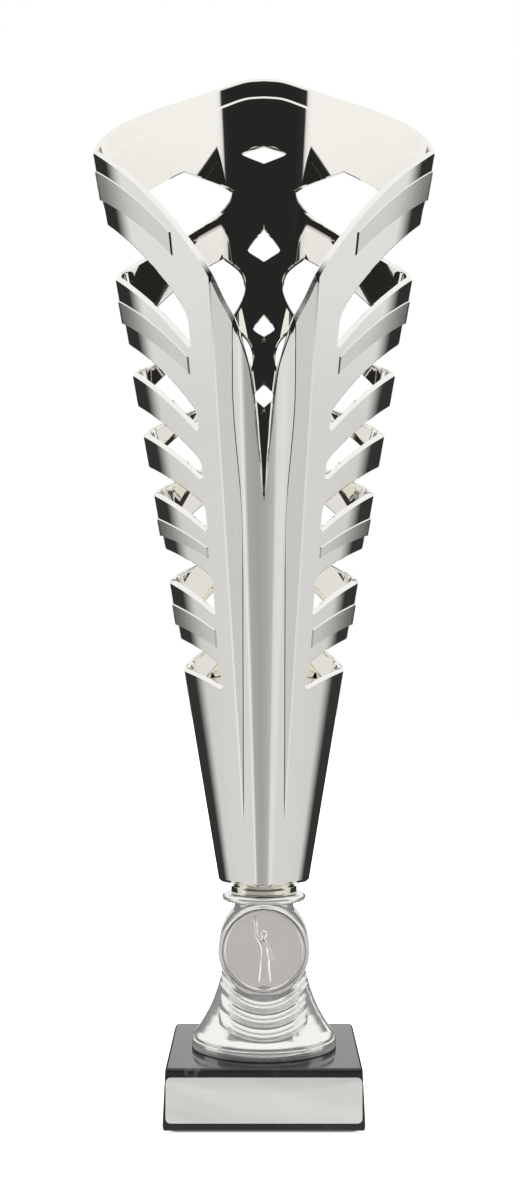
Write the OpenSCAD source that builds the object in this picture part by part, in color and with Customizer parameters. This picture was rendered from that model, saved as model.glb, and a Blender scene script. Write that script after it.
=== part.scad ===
// Tall presentation trophy: a pierced conical cup on a medal riser and a marble base,
// held together by one threaded rod. Millimetres, +Z up, +Y towards the back.
// The origin is the middle of the underside, on the surface that the trophy stands on.

/* [Base] */
// Width of the marble base along its bottom edge
marble_w = 60; // [56:1:70]
// Width of the marble base along its top edge
marble_top_w = 58.2; // [54:0.2:58.6]
// Height of the marble block
marble_h = 18.2; // [17:0.1:24]
// Chamfer along the edges of the marble
marble_chamfer = 0.8; // [0.4:0.1:1.2]
// Thickness of the felt under the base
felt_t = 0.8; // [0.5:0.1:1.5]
// Width of the felt
felt_w = 55; // [50:1:56]
// Length of the engraving plate
plate_w = 57.6; // [50:0.2:57.8]
// Height of the engraving plate
plate_h = 13.2; // [10:0.2:14]

/* [Riser] */
// Radius of the riser's foot
riser_foot_r = 22.4; // [20:0.2:26]
// Height of the riser
riser_h = 47.4; // [46:0.2:50]
// Radius of the round housing that holds the medal
housing_r = 13.9; // [13.6:0.1:14.2]
// Diameter of the medal
medal_d = 25; // [24:0.5:25]
// Radius of the flange at the top of the riser
flange_r = 13; // [11.5:0.5:15]
// Radius of the collar under the cup
collar_r = 10.2; // [8:0.1:11]
// Height of the collar
collar_h = 3.3; // [2:0.1:5]

/* [Cup] */
// Half of the cup's width, corner to corner, at its bottom
cup_foot_hw = 13.9; // [13:0.1:16]
// Half of the cup's width, corner to corner, at the side corners of the rim, before the flare
cup_rim_hw = 51.6; // [50:0.2:54]
// How much further the side corners of the rim reach out than a straight cone would
cup_flare = 1.9; // [0:0.1:3]
// Height of the rim's side corners above the bottom of the cup
cup_corner_h = 228; // [226:1:232]
// Height of the middle of the back rim above the bottom of the cup
cup_back_h = 268.8; // [266:0.2:275]
// Thickness of the cup's wall
cup_wall = 1.8; // [1.4:0.1:2.4]

/* [Fastening] */
// Diameter of the threaded rod
rod_d = 6; // [5:1:6]

/* [Hidden] */
eps = 0.01;
$fn = 64;

// Fastener sizes follow from the rod
bore_d = rod_d + 0.6;
nut_flats = rod_d * 10 / 6;
nut_h = rod_d * 5 / 6;
washer_d = rod_d * 2;
washer_t = 1.6;
nut_clear = 0.1;
rod_spare = 1.5;

// Heights of the stack, from the table up
marble_z = felt_t;
riser_z = marble_z + marble_h;
collar_z = riser_z + riser_h;
cup_z = collar_z + collar_h;
cup_floor_t = 3.2;
nut_pocket_d = 20;
nut_pocket_h = 10.7;
washer_z = marble_z + nut_pocket_h - washer_t;
spring_z = washer_z - washer_t;
base_nut_z = spring_z - nut_h;
rod_z = base_nut_z - rod_spare;
cup_washer_z = cup_z + cup_floor_t;
cup_nut_z = cup_washer_z + washer_t;
rod_top = cup_nut_z + nut_h + rod_spare;

// Engraving plate and its tape on the leaning front face of the marble
plate_t = 0.5;
plate_corner = 1.5;
tape_t = 0.2;
tape_inset = 1;
plate_lean = atan((marble_w - marble_top_w) / 2 / marble_h);

// Riser wall, housing and medal recess
riser_wall = 1.6;
riser_top_t = 3;
riser_neck_r = 9;
flange_t = 1.2;
housing_gap = 0.6;
housing_up = riser_h - flange_t - housing_r - housing_gap;
housing_front = 14.4;
housing_back = 10;
medal_t = 1.6;
medal_tape_t = 0.5;
medal_gap = 0.2;
recess_h = medal_t + medal_tape_t + 0.3;

// Plan of the cup: a square with rounded corners, one of them at the front, for a half width of 1.
// The front faces bend slowly into a tight side corner, and the back faces have a wider one.
plan_apex = 1.12;
plan_r = 0.29;
plan_back_r = 0.46;
plan_side_r = 0.07;
least_side_r = 0.3;
slow_turn = 10;
half_arc = plan_r * PI / 4;
back_arc = plan_back_r * PI / 4;
quarter = 2 * half_arc + plan_apex * sqrt(2) - 2 * plan_r;
back_quarter = back_arc + half_arc + plan_apex * sqrt(2) - plan_r - plan_back_r;
overhang = 1.15;
cup_slope = (cup_rim_hw - cup_foot_hw) / cup_corner_h;
cup_top_h = cup_back_h + 4;
flare_start_h = 91;
flare_rate = cup_flare / (cup_corner_h - flare_start_h);
cut_depth = 90;

// Each gap between two fins, heights above the bottom of the cup and places along the wall:
// [height at the corner, drop to the spine, rise to the back] of its upper edge,
// the same of its lower edge, then [place, height] of its rounded end near the middle of the
// back, and the places where its upper and lower edges begin to bend towards that end
spine_s = 0.7;
GAPS = [
    [[204.4, 32.0, 41], [188.4, 26.0, 38], [0.240, 226.8], 0.66, 0.66],
    [[167.2, 23.5, 44], [158.6, 20.5, 21], [0.154, 193.6], 0.34, 0.61],
    [[147.9, 19.0, 37], [139.6, 16.0, 22], [0.099, 168.3], 0.27, 0.46],
    [[129.0, 13.5, 31], [121.2, 13.0, 19], [0.188, 145.0], 0.41, 0.56],
    [[103.6,  9.3, 29], [ 94.0, 10.5, 16], [0.236, 119.5], 0.46, 0.61],
    [[ 75.6,  7.6, 28], [ 66.5,  5.5, 20], [0.284,  92.5], 0.51, 0.66]
];

// Each opening in the middle of the back: [top height, height of its side points, bottom height,
// half width along the wall]
DIAMONDS = [
    [243.9, 240.9, 238.1, 0.165],
    [214.6, 206.9, 203.4, 0.133],
    [184.5, 179.6, 177.3, 0.10],
    [160.4, 156.7, 153.0, 0.119]
];

// Front opening: [distance along the wall from the front corner, height]
V_EDGE = [[0, 117], [0.033, 127.7], [0.068, 139.5], [0.1, 151], [0.15, 158], [0.24, 167], [0.35, 174],
          [0.5, 185], [0.76, 199.2], [1, 211], [1.21, 219]];

// Back rim: [distance along the wall from the middle of the back, height below the middle]
RIM_EDGE = [[0, 0], [0.12, 0.9], [0.27, 4.6], [0.56, 12.8], [0.91, 22.3], [1.19, 31]];

function half_width(h) = cup_foot_hw + cup_slope * h;
function side_reach(h) = half_width(h) + flare_rate * max(h - flare_start_h, 0);

// Sideways place of a point on the wall: s is measured along the wall from the front or back
// corner, r is that corner's radius for a half width of 1, and full is the length to the side corner
function wall_x(s, h, r, full) =
    let (hw = half_width(h), arc = r * PI / 4,
         side_r = (plan_apex * hw - side_reach(h)) / (sqrt(2) - 1),
         straight = plan_r * hw - side_r,
         t = (s - full + half_arc) / half_arc,
         run = t * (straight + side_r * PI / 4))
    s < arc ? r * hw * sin(s / r * 180 / PI)
    : t < 0 ? hw * (r + s - arc) / sqrt(2)
    : run < straight ? hw * (plan_apex - plan_r / sqrt(2)) + run / sqrt(2)
    : plan_apex * hw - sqrt(2) * side_r + side_r * cos(45 - (run - straight) / side_r * 180 / PI);
function front_point(s, h) = [wall_x(s, h, plan_r, quarter), h];
function back_point(s, h) = [wall_x(s, h, plan_back_r, back_quarter), h];
function mix(a, b, t) = a + (b - a) * t;
function reversed(list) = [for (i = [len(list) - 1 : -1 : 0]) list[i]];

// Points of an arc that faces from angle a to angle b, both measured from the front
function arc(centre, r, a, b, first, steps) =
    [for (i = [first : steps])
        let (t = mix(a, b, i / steps)) [centre.x + r * sin(t), centre.y - r * cos(t)]];

// Right half of the cup's plan at height h, shrunk by inset, from the front to the back
function half_plan(h, inset) =
    let (hw = half_width(h),
         apex = plan_apex * hw - sqrt(2) * inset,
         wide = side_reach(h) - inset,
         front_r = plan_r * hw - inset,
         back_r = plan_back_r * hw - inset,
         tight_r = max(plan_side_r * hw - inset, least_side_r),
         wide_r = (apex - wide) / (sqrt(2) - 1),
         turn = 45 + slow_turn,
         reach = sin(turn) + cos(turn),
         slow_r = (apex - wide - tight_r * (reach - 1)) / (sqrt(2) - reach),
         tight = [wide - tight_r, 0],
         slow = tight + (tight_r - slow_r) * [sin(turn), -cos(turn)])
    concat(arc([0, sqrt(2) * front_r - apex], front_r, 0, 45, 0, 6),
           arc(slow, slow_r, 45, turn, 0, 3),
           arc(tight, tight_r, turn, 90, 1, 3),
           arc([apex - sqrt(2) * wide_r, 0], wide_r, 90, 135, 1, 5),
           arc([0, apex - sqrt(2) * back_r], back_r, 135, 180, 0, 8));

// The cup's shape through its plans at the given heights, shrunk by inset
module cup_skin(heights, inset) {
    rings = [for (h = heights)
        let (half = half_plan(h, inset))
        concat(half, [for (p = reversed(half)) if (p.x > eps) [-p.x, p.y]])];
    count = len(rings[0]);
    last = (len(heights) - 1) * count;
    points = [for (k = [0 : len(heights) - 1], p = rings[k]) [p.x, p.y, heights[k]]];
    sides = [for (k = [0 : len(heights) - 2], i = [0 : count - 1])
        let (a = k * count + i, b = k * count + (i + 1) % count)
        [a, a + count, b + count, b]];
    polyhedron(points, concat(
        sides,
        [[for (i = [0 : count - 1]) i]],
        [[for (i = [count - 1 : -1 : 0]) last + i]]
    ));
}

// Extrudes a drawing of sideways place against height towards the front (-1) or the back (1)
module wall_cut(direction) {
    translate([0, direction > 0 ? cut_depth : 0, 0])
        rotate([90, 0, 0])
            linear_extrude(height = cut_depth)
                children();
}

module both_sides() {
    children();
    mirror([1, 0])
        children();
}

// Points along one edge of a gap, from past the side corner to place s_end, on the side of the
// corner with radius r, whose faces are full long. Rise is negative towards the spine and positive
// towards the back, bow is how much of it is curved, and span is the length that rises fully.
function gap_edge(h, rise, bow, s_end, span, r, full) =
    let (steps = 6)
    concat([[overhang * half_width(h), h]],
           [for (i = [0 : steps])
               let (s = mix(full, s_end, i / steps),
                    t = (full - s) / span,
                    height = h + rise * ((1 - bow) * t + bow * t * t))
               [wall_x(s, height, r, full), height]]);

// Points of the bend from the end of a gap's edge to its rounded tip
function gap_bend(last, tip, power) =
    [for (t = [0.6, 0.3, 0.1, 0.02])
        let (p = pow(t, power)) [mix(tip.x, last.x, t), mix(tip.y, last.y, p)]];

// Gap between two fins from the side corner to the spine
module front_gap(g) {
    span = quarter - spine_s;
    upper = gap_edge(g[0][0], -g[0][1], 0.3, spine_s, span, plan_r, quarter);
    lower = gap_edge(g[1][0], -g[1][1], 0.3, spine_s, span, plan_r, quarter);
    polygon(concat(upper, reversed(lower)));
}

// The same gap from the side corner to its rounded tip near the middle of the back
module back_gap(g) {
    full = back_quarter;
    upper = gap_edge(g[0][0], g[0][2], -0.3, g[3], full, plan_back_r, full);
    lower = gap_edge(g[1][0], g[1][2], 0, g[4], full, plan_back_r, full);
    tip = back_point(g[2][0], g[2][1]);
    above = gap_bend(upper[len(upper) - 1], tip, 0.3);
    below = gap_bend(lower[len(lower) - 1], tip, 0.64);
    polygon(concat(upper, above, [tip], reversed(below), reversed(lower)));
}

module diamond(d) {
    tip = back_point(d[3], d[1]);
    polygon([[0, d[0]], tip, [0, d[2]], [-tip.x, tip.y]]);
}

// Corner of the rim and the space above it
function above_rim() =
    let (x = overhang * half_width(cup_top_h))
    [front_point(quarter, cup_corner_h), [x, cup_corner_h], [x, cup_top_h + 1], [0, cup_top_h + 1]];

// Everything above the front opening
module front_opening() {
    both_sides()
        polygon(concat([for (p = V_EDGE) front_point(p[0], p[1])], above_rim()));
}

// Everything above the back rim
module back_opening() {
    both_sides()
        polygon(concat([for (p = RIM_EDGE) back_point(p[0], cup_back_h - p[1])], above_rim()));
}

module cup() {
    color("gainsboro")
        translate([0, 0, cup_z])
            difference() {
                cup_skin([0, flare_start_h, cup_top_h], 0);
                cup_skin([cup_floor_t, flare_start_h, cup_top_h + 1], cup_wall);
                translate([0, 0, -eps])
                    cylinder(d = bore_d, h = cup_floor_t + 2 * eps);
                wall_cut(-1)
                    front_opening();
                wall_cut(1)
                    back_opening();
                wall_cut(-1)
                    both_sides()
                        for (g = GAPS) front_gap(g);
                wall_cut(1)
                    both_sides()
                        for (g = GAPS) back_gap(g);
                wall_cut(1)
                    for (d = DIAMONDS) diamond(d);
            }
}

module marble_base() {
    inset = marble_chamfer;
    color("#202124")
        difference() {
            hull() {
                translate([-marble_w / 2 + inset, -marble_w / 2 + inset, marble_z])
                    cube([marble_w - 2 * inset, marble_w - 2 * inset, eps]);
                translate([-marble_w / 2, -marble_w / 2, marble_z + inset])
                    cube([marble_w, marble_w, eps]);
                translate([-marble_top_w / 2, -marble_top_w / 2, riser_z - inset])
                    cube([marble_top_w, marble_top_w, eps]);
                translate([-marble_top_w / 2 + inset, -marble_top_w / 2 + inset, riser_z - eps])
                    cube([marble_top_w - 2 * inset, marble_top_w - 2 * inset, eps]);
            }
            translate([0, 0, marble_z - 1])
                cylinder(d = bore_d, h = marble_h + 2);
            translate([0, 0, marble_z - 1])
                cylinder(d = nut_pocket_d, h = nut_pocket_h + 1);
        }
}

module base_felt() {
    color("#15161a")
        translate([-felt_w / 2, -felt_w / 2, 0])
            cube([felt_w, felt_w, felt_t]);
}

module rounded_sheet(w, h, t, r) {
    linear_extrude(height = t)
        union() {
            square([w - 2 * r, h], center = true);
            square([w, h - 2 * r], center = true);
            for (x = [-1, 1], y = [-1, 1])
                translate([x * (w / 2 - r), y * (h / 2 - r)])
                    circle(r = r);
        }
}

// Places a flat sheet, drawn face up, on the leaning front face of the marble
module on_front_face(lift) {
    face_y = (marble_w + marble_top_w) / 4;
    translate([0, -face_y, marble_z + marble_h / 2])
        rotate([90 - plate_lean, 0, 0])
            translate([0, 0, lift])
                children();
}

module engraving_plate() {
    color("silver")
        on_front_face(tape_t + 0.02)
            rounded_sheet(plate_w, plate_h, plate_t, plate_corner);
}

module plate_tape() {
    color("white")
        on_front_face(0.01)
            rounded_sheet(plate_w - 2 * tape_inset, plate_h - 2 * tape_inset, tape_t, plate_corner);
}

// Outline of the riser's outside, radius against height above the marble
module riser_outline(inset) {
    r = riser_foot_r - inset;
    neck = riser_neck_r - inset;
    polygon([[0, 0], [r, 0], [r, 3.2], [r - 1.4, 4.6], [r - 4.2, 9], [r - 6.6, 14], [r - 8.4, 19],
             [r - 9.8, 24], [neck + 2.2, riser_h - 12], [neck, riser_h - 4], [neck, riser_h - flange_t],
             [0, riser_h - flange_t]]);
}

module riser() {
    color("lightgray")
        translate([0, 0, riser_z])
            difference() {
                union() {
                    rotate_extrude()
                        riser_outline(0);
                    translate([0, housing_back, housing_up])
                        rotate([90, 0, 0])
                            cylinder(r = housing_r, h = housing_front + housing_back);
                    translate([0, 0, riser_h - flange_t])
                        cylinder(r = flange_r, h = flange_t);
                }
                translate([0, 0, -eps])
                    intersection() {
                        rotate_extrude()
                            riser_outline(riser_wall);
                        cylinder(r = riser_foot_r, h = riser_h - riser_top_t);
                    }
                translate([0, recess_h - housing_front, housing_up])
                    rotate([90, 0, 0])
                        cylinder(d = medal_d + 2 * medal_gap, h = recess_h + 1);
                translate([0, 0, riser_h / 2])
                    cylinder(d = bore_d, h = riser_h);
            }
}

module medal_disc(d, t, lift) {
    translate([0, recess_h - housing_front - lift, riser_z + housing_up])
        rotate([90, 0, 0])
            cylinder(d = d, h = t);
}

module centre_medal() {
    color("darkgray")
        medal_disc(medal_d, medal_t, medal_tape_t);
}

module medal_tape() {
    color("white")
        medal_disc(medal_d - 3, medal_tape_t, 0);
}

module collar() {
    groove = 0.5;
    color("lightgoldenrodyellow")
        translate([0, 0, collar_z])
            rotate_extrude()
                polygon([[bore_d / 2, 0], [collar_r, 0], [collar_r, collar_h - 2 * groove],
                         [collar_r - groove, collar_h - groove], [collar_r - groove, collar_h],
                         [bore_d / 2, collar_h]]);
}

module threaded_rod() {
    lead_in = 0.6;
    color("gray")
        translate([0, 0, rod_z])
            rotate_extrude()
                polygon([[0, 0], [rod_d / 2 - lead_in, 0], [rod_d / 2, lead_in],
                         [rod_d / 2, rod_top - rod_z - lead_in],
                         [rod_d / 2 - lead_in, rod_top - rod_z], [0, rod_top - rod_z]]);
}

module hex_nut(z) {
    color("silver")
        translate([0, 0, z])
            difference() {
                cylinder(d = nut_flats / cos(30), h = nut_h, $fn = 6);
                translate([0, 0, -1])
                    cylinder(d = rod_d + nut_clear, h = nut_h + 2);
            }
}

module flat_washer(z) {
    color("silver")
        translate([0, 0, z])
            difference() {
                cylinder(d = washer_d, h = washer_t);
                translate([0, 0, -1])
                    cylinder(d = rod_d + 4 * nut_clear, h = washer_t + 2);
            }
}

module base_washer() {
    flat_washer(washer_z);
}

module base_spring_washer() {
    slot = 0.8;
    difference() {
        flat_washer(spring_z);
        translate([0, -slot / 2, spring_z - 1])
            cube([washer_d, slot, washer_t + 2]);
    }
}

module base_nut() {
    hex_nut(base_nut_z);
}

module cup_washer() {
    flat_washer(cup_washer_z);
}

module cup_nut() {
    hex_nut(cup_nut_z);
}

marble_base();
base_felt();
engraving_plate();
plate_tape();
riser();
centre_medal();
medal_tape();
collar();
cup();
threaded_rod();
base_washer();
base_spring_washer();
base_nut();
cup_washer();
cup_nut();
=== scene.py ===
import math

import bmesh
import bpy
import numpy as np
from mathutils import Matrix, Vector
from mathutils.geometry import delaunay_2d_cdt


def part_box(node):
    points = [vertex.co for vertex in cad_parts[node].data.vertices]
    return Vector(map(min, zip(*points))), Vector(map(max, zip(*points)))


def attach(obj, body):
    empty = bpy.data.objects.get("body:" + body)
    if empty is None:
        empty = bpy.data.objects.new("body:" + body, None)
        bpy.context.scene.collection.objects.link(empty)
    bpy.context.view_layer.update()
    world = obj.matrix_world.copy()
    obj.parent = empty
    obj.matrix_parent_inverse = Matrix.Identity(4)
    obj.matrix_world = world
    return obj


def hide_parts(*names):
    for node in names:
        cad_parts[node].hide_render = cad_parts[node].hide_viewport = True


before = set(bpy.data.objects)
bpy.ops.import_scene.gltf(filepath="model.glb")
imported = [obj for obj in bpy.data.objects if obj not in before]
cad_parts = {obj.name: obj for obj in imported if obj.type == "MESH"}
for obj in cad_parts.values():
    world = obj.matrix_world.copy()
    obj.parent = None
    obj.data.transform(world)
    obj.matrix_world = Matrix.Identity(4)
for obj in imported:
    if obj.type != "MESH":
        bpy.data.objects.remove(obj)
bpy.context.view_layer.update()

# ---------------------------------------------------------------- sizes
# Lengths are in millimetres until a mesh is made, and metres in the mesh.
MM = 0.001
BODY = "root"


def mm_box(node):
    """Lowest and highest corner of a CAD node, in millimetres."""
    lo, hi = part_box(node)
    return lo / MM, hi / MM


CUP_LO, CUP_HI = mm_box("cup")
MARBLE_LO, MARBLE_HI = mm_box("marble_base")
FELT_LO, FELT_HI = mm_box("base_felt")
PLATE_LO, PLATE_HI = mm_box("engraving_plate")
RISER_LO, RISER_HI = mm_box("riser")
MEDAL_LO, MEDAL_HI = mm_box("centre_medal")
COLLAR_LO, COLLAR_HI = mm_box("collar")
ROD_LO, ROD_HI = mm_box("threaded_rod")


def widest_at(node, z, tolerance=0.01):
    """Largest sideways reach of a CAD node's corners at one height."""
    points = [v.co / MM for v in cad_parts[node].data.vertices]
    return max(abs(p.x) for p in points if abs(p.z - z) < tolerance)


# ---------------------------------------------------------------- small tools
def mix(a, b, t):
    return a + (b - a) * t


def clamp(x, low=0.0, high=1.0):
    return max(low, min(high, x))


def smooth(t):
    t = clamp(t)
    return t * t * (3 - 2 * t)


def spaced(low, high, count):
    """count + 1 evenly spaced values from low to high."""
    return [mix(low, high, i / count) for i in range(count + 1)]


def spline(points, steps):
    """Smooth curve through given points."""
    out = []
    last = len(points) - 1
    for i in range(last):
        p0, p1 = points[max(i - 1, 0)], points[i]
        p2, p3 = points[i + 1], points[min(i + 2, last)]
        for k in range(steps):
            t = k / steps
            out.append(tuple(
                0.5 * (2 * b + (c - a) * t + (2 * a - 5 * b + 4 * c - d) * t * t
                       + (3 * b - a - 3 * c + d) * t ** 3)
                for a, b, c, d in zip(p0, p1, p2, p3)))
    out.append(tuple(points[-1]))
    return out


def rounded(before, corner, after, cut, steps=5):
    """Points that round a corner, starting and ending cut away from it."""
    def towards(a, b):
        length = math.dist(a, b)
        return tuple(mix(x, y, min(0.45, cut / length)) for x, y in zip(a, b))
    start, end = towards(corner, before), towards(corner, after)
    return [tuple((1 - t) ** 2 * s + 2 * t * (1 - t) * c + t * t * e
                  for s, c, e in zip(start, corner, end))
            for t in spaced(0, 1, steps)]


def new_object(name, mesh):
    """Object of a mesh or other data, placed at the origin of the scene."""
    obj = bpy.data.objects.new(name, mesh)
    bpy.context.scene.collection.objects.link(obj)
    return obj


def mesh_from(name, verts, faces, scale=MM):
    """Mesh in metres from points in millimetres."""
    mesh = bpy.data.meshes.new(name)
    mesh.from_pydata([tuple(c * scale for c in v) for v in verts], [], faces)
    mesh.update()
    return mesh


def shade_by_angle(obj, degrees=35):
    """Smooth faces, with edges sharper than the angle kept crisp."""
    mesh = obj.data
    bm = bmesh.new()
    bm.from_mesh(mesh)
    limit = math.radians(degrees)
    for f in bm.faces:
        f.smooth = True
    for e in bm.edges:
        e.smooth = not (len(e.link_faces) == 2 and e.calc_face_angle(0) > limit)
    bm.to_mesh(mesh)
    bm.free()


def tidy_mesh(obj, merge=0.0):
    """Merges doubles and turns every face outwards."""
    bm = bmesh.new()
    bm.from_mesh(obj.data)
    if merge:
        bmesh.ops.remove_doubles(bm, verts=bm.verts, dist=merge)
    loose = [v for v in bm.verts if not v.link_faces]
    bmesh.ops.delete(bm, geom=loose, context="VERTS")
    bmesh.ops.recalc_face_normals(bm, faces=bm.faces)
    bm.to_mesh(obj.data)
    bm.free()


def place_piece(obj, slot, *nodes):
    """Hands a finished piece over: its body and the CAD nodes it stands for; slot is not used."""
    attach(obj, BODY)
    if nodes:
        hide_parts(*nodes)
    return obj


# ---------------------------------------------------------------- shader tools
def node_at(tree, kind, **values):
    n = tree.nodes.new(kind)
    for key, value in values.items():
        setattr(n, key, value)
    return n


def feed(tree, entry, value):
    """Gives an input its value: another node's output, a number, or a colour of three shares."""
    if isinstance(value, bpy.types.NodeSocket):
        tree.links.new(value, entry)
    elif isinstance(value, tuple):
        entry.default_value = (*value, 1.0)
    else:
        entry.default_value = value


def math_node(tree, operation, a, b=0.0, c=0.0):
    n = node_at(tree, "ShaderNodeMath", operation=operation)
    for entry, value in zip(n.inputs, (a, b, c)):
        feed(tree, entry, value)
    return n.outputs[0]


def map_range(tree, value, low, high, to_low=0.0, to_high=1.0):
    n = node_at(tree, "ShaderNodeMapRange", clamp=True, interpolation_type="SMOOTHSTEP")
    tree.links.new(value, n.inputs["Value"])
    for label, number in (("From Min", low), ("From Max", high),
                          ("To Min", to_low), ("To Max", to_high)):
        n.inputs[label].default_value = number
    return n.outputs["Result"]


def mixed_colour(tree, factor, a, b):
    n = node_at(tree, "ShaderNodeMix", data_type="RGBA")
    for entry, value in ((n.inputs[0], factor), (n.inputs[6], a), (n.inputs[7], b)):
        feed(tree, entry, value)
    return n.outputs[2]


def noise_at(tree, place, scale, detail=2.0):
    n = node_at(tree, "ShaderNodeTexNoise")
    tree.links.new(place, n.inputs["Vector"])
    feed(tree, n.inputs["Scale"], scale)
    n.inputs["Detail"].default_value = detail
    return n


def effect_group(name, result, **numbers):
    """Empty shader group that takes a vector and named numbers and gives one number."""
    tree = bpy.data.node_groups.new(name, "ShaderNodeTree")
    tree.interface.new_socket("Vector", in_out="INPUT", socket_type="NodeSocketVector")
    for label, default in numbers.items():
        entry = tree.interface.new_socket(label, in_out="INPUT", socket_type="NodeSocketFloat")
        entry.default_value = default
    tree.interface.new_socket(result, in_out="OUTPUT", socket_type="NodeSocketFloat")
    given = tree.nodes.new("NodeGroupInput").outputs
    return tree, given, tree.nodes.new("NodeGroupOutput").inputs[result]


def handling_group():
    """Faint fingermarks and dust: a mask of where polish is dulled."""
    tree, given, mask = effect_group("handling marks", "Mask", Scale=40.0, Amount=0.1)
    broad = noise_at(tree, given["Vector"], given["Scale"], 3.0)
    patch = map_range(tree, broad.outputs["Fac"], 0.5, 0.75)
    feed(tree, mask, math_node(tree, "MULTIPLY", patch, given["Amount"]))
    return tree


def ripple_group():
    """Slow unevenness of a moulded and plated surface, as a height."""
    tree, given, height = effect_group("moulded ripple", "Height", Scale=25.0)
    feed(tree, height, noise_at(tree, given["Vector"], given["Scale"], 1.0).outputs["Fac"])
    return tree


def grain_group():
    """Sand-blasted grain: small round dimples of mixed depth."""
    tree, given, height = effect_group("blasted grain", "Height", Scale=2500.0)
    dimple = node_at(tree, "ShaderNodeTexVoronoi", feature="SMOOTH_F1")
    tree.links.new(given["Vector"], dimple.inputs["Vector"])
    tree.links.new(given["Scale"], dimple.inputs["Scale"])
    speck = noise_at(tree, given["Vector"], math_node(tree, "MULTIPLY", given["Scale"], 2.1))
    half = math_node(tree, "MULTIPLY", speck.outputs["Fac"], 0.5)
    feed(tree, height, math_node(tree, "ADD", dimple.outputs["Distance"], half))
    return tree


HANDLING = handling_group()
RIPPLE = ripple_group()
GRAIN = grain_group()


# ---------------------------------------------------------------- finishes
def material(name, metal=0.0, roughness=0.5):
    """New node material: returns it, its tree, its Principled shader and object coordinates."""
    mat = bpy.data.materials.new(name)
    mat.use_nodes = True
    tree = mat.node_tree
    shader = tree.nodes["Principled BSDF"]
    shader.inputs["Metallic"].default_value = metal
    shader.inputs["Roughness"].default_value = roughness
    place = node_at(tree, "ShaderNodeTexCoord").outputs["Object"]
    return mat, tree, shader, place


def group_in(tree, group, place, **values):
    """Puts an effect group into a tree and returns the number it gives."""
    n = node_at(tree, "ShaderNodeGroup")
    n.node_tree = group
    tree.links.new(place, n.inputs["Vector"])
    for key, value in values.items():
        n.inputs[key].default_value = value
    return n.outputs[0]


def bump(tree, shader, height, depth):
    n = node_at(tree, "ShaderNodeBump")
    n.inputs["Strength"].default_value = 1.0
    n.inputs["Distance"].default_value = depth
    tree.links.new(height, n.inputs["Height"])
    tree.links.new(n.outputs["Normal"], shader.inputs["Normal"])


def worn_polish(tree, shader, place, roughness, scale, amount):
    """Roughness with handling marks on it; returns the mask of the marks."""
    marks = group_in(tree, HANDLING, place, Scale=scale, Amount=amount)
    feed(tree, shader.inputs["Roughness"], math_node(tree, "ADD", marks, roughness))
    return marks


def darker(colour, share):
    return tuple(c * share for c in colour)


def silver_plating(name, colour, roughness, ripple=0.00002, metal=1.0):
    """Bright plating on plastic: mirror gloss, slight ripple and faint handling marks."""
    mat, tree, shader, place = material(name, metal)
    marks = worn_polish(tree, shader, place, roughness, 45.0, 0.035)
    tint = mixed_colour(tree, marks, colour, darker(colour, 0.9))
    feed(tree, shader.inputs["Base Color"], tint)
    bump(tree, shader, group_in(tree, RIPPLE, place, Scale=30.0), ripple)
    return mat


def blasted_plating(colour):
    """The same plating over a sand-blasted mould face."""
    mat, tree, shader, place = material("blasted silver plating", 1.0, 0.26)
    grain = group_in(tree, GRAIN, place, Scale=2600.0)
    shade = map_range(tree, grain, 0.2, 1.0, 0.0, 0.5)
    tint = mixed_colour(tree, shade, colour, darker(colour, 0.8))
    feed(tree, shader.inputs["Base Color"], tint)
    bump(tree, shader, grain, 0.00001)
    return mat


def black_marble():
    """Polished black marble: near-black body, thin broken pale veins and faint clouds."""
    mat, tree, shader, place = material("black marble")
    warp = noise_at(tree, place, 35.0, 5.0)
    bent = node_at(tree, "ShaderNodeMix", data_type="VECTOR")
    bent.inputs[0].default_value = 0.035
    tree.links.new(place, bent.inputs[4])
    tree.links.new(warp.outputs["Color"], bent.inputs[5])
    vein = node_at(tree, "ShaderNodeTexVoronoi", feature="DISTANCE_TO_EDGE")
    vein.inputs["Scale"].default_value = 42.0
    tree.links.new(bent.outputs[1], vein.inputs["Vector"])
    thin = map_range(tree, vein.outputs["Distance"], 0.0, 0.035, 1.0, 0.0)
    gaps = map_range(tree, noise_at(tree, place, 70.0).outputs["Fac"], 0.5, 0.68)
    faint = math_node(tree, "MULTIPLY", math_node(tree, "MULTIPLY", thin, gaps), 0.1)
    cloud = noise_at(tree, place, 90.0, 6.0).outputs["Fac"]
    body = mixed_colour(tree, cloud, (0.006, 0.0065, 0.007), (0.016, 0.017, 0.018))
    feed(tree, shader.inputs["Base Color"], mixed_colour(tree, faint, body, (0.35, 0.35, 0.34)))
    worn_polish(tree, shader, place, 0.07, 60.0, 0.08)
    shader.inputs["Specular IOR Level"].default_value = 0.6
    return mat


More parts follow.
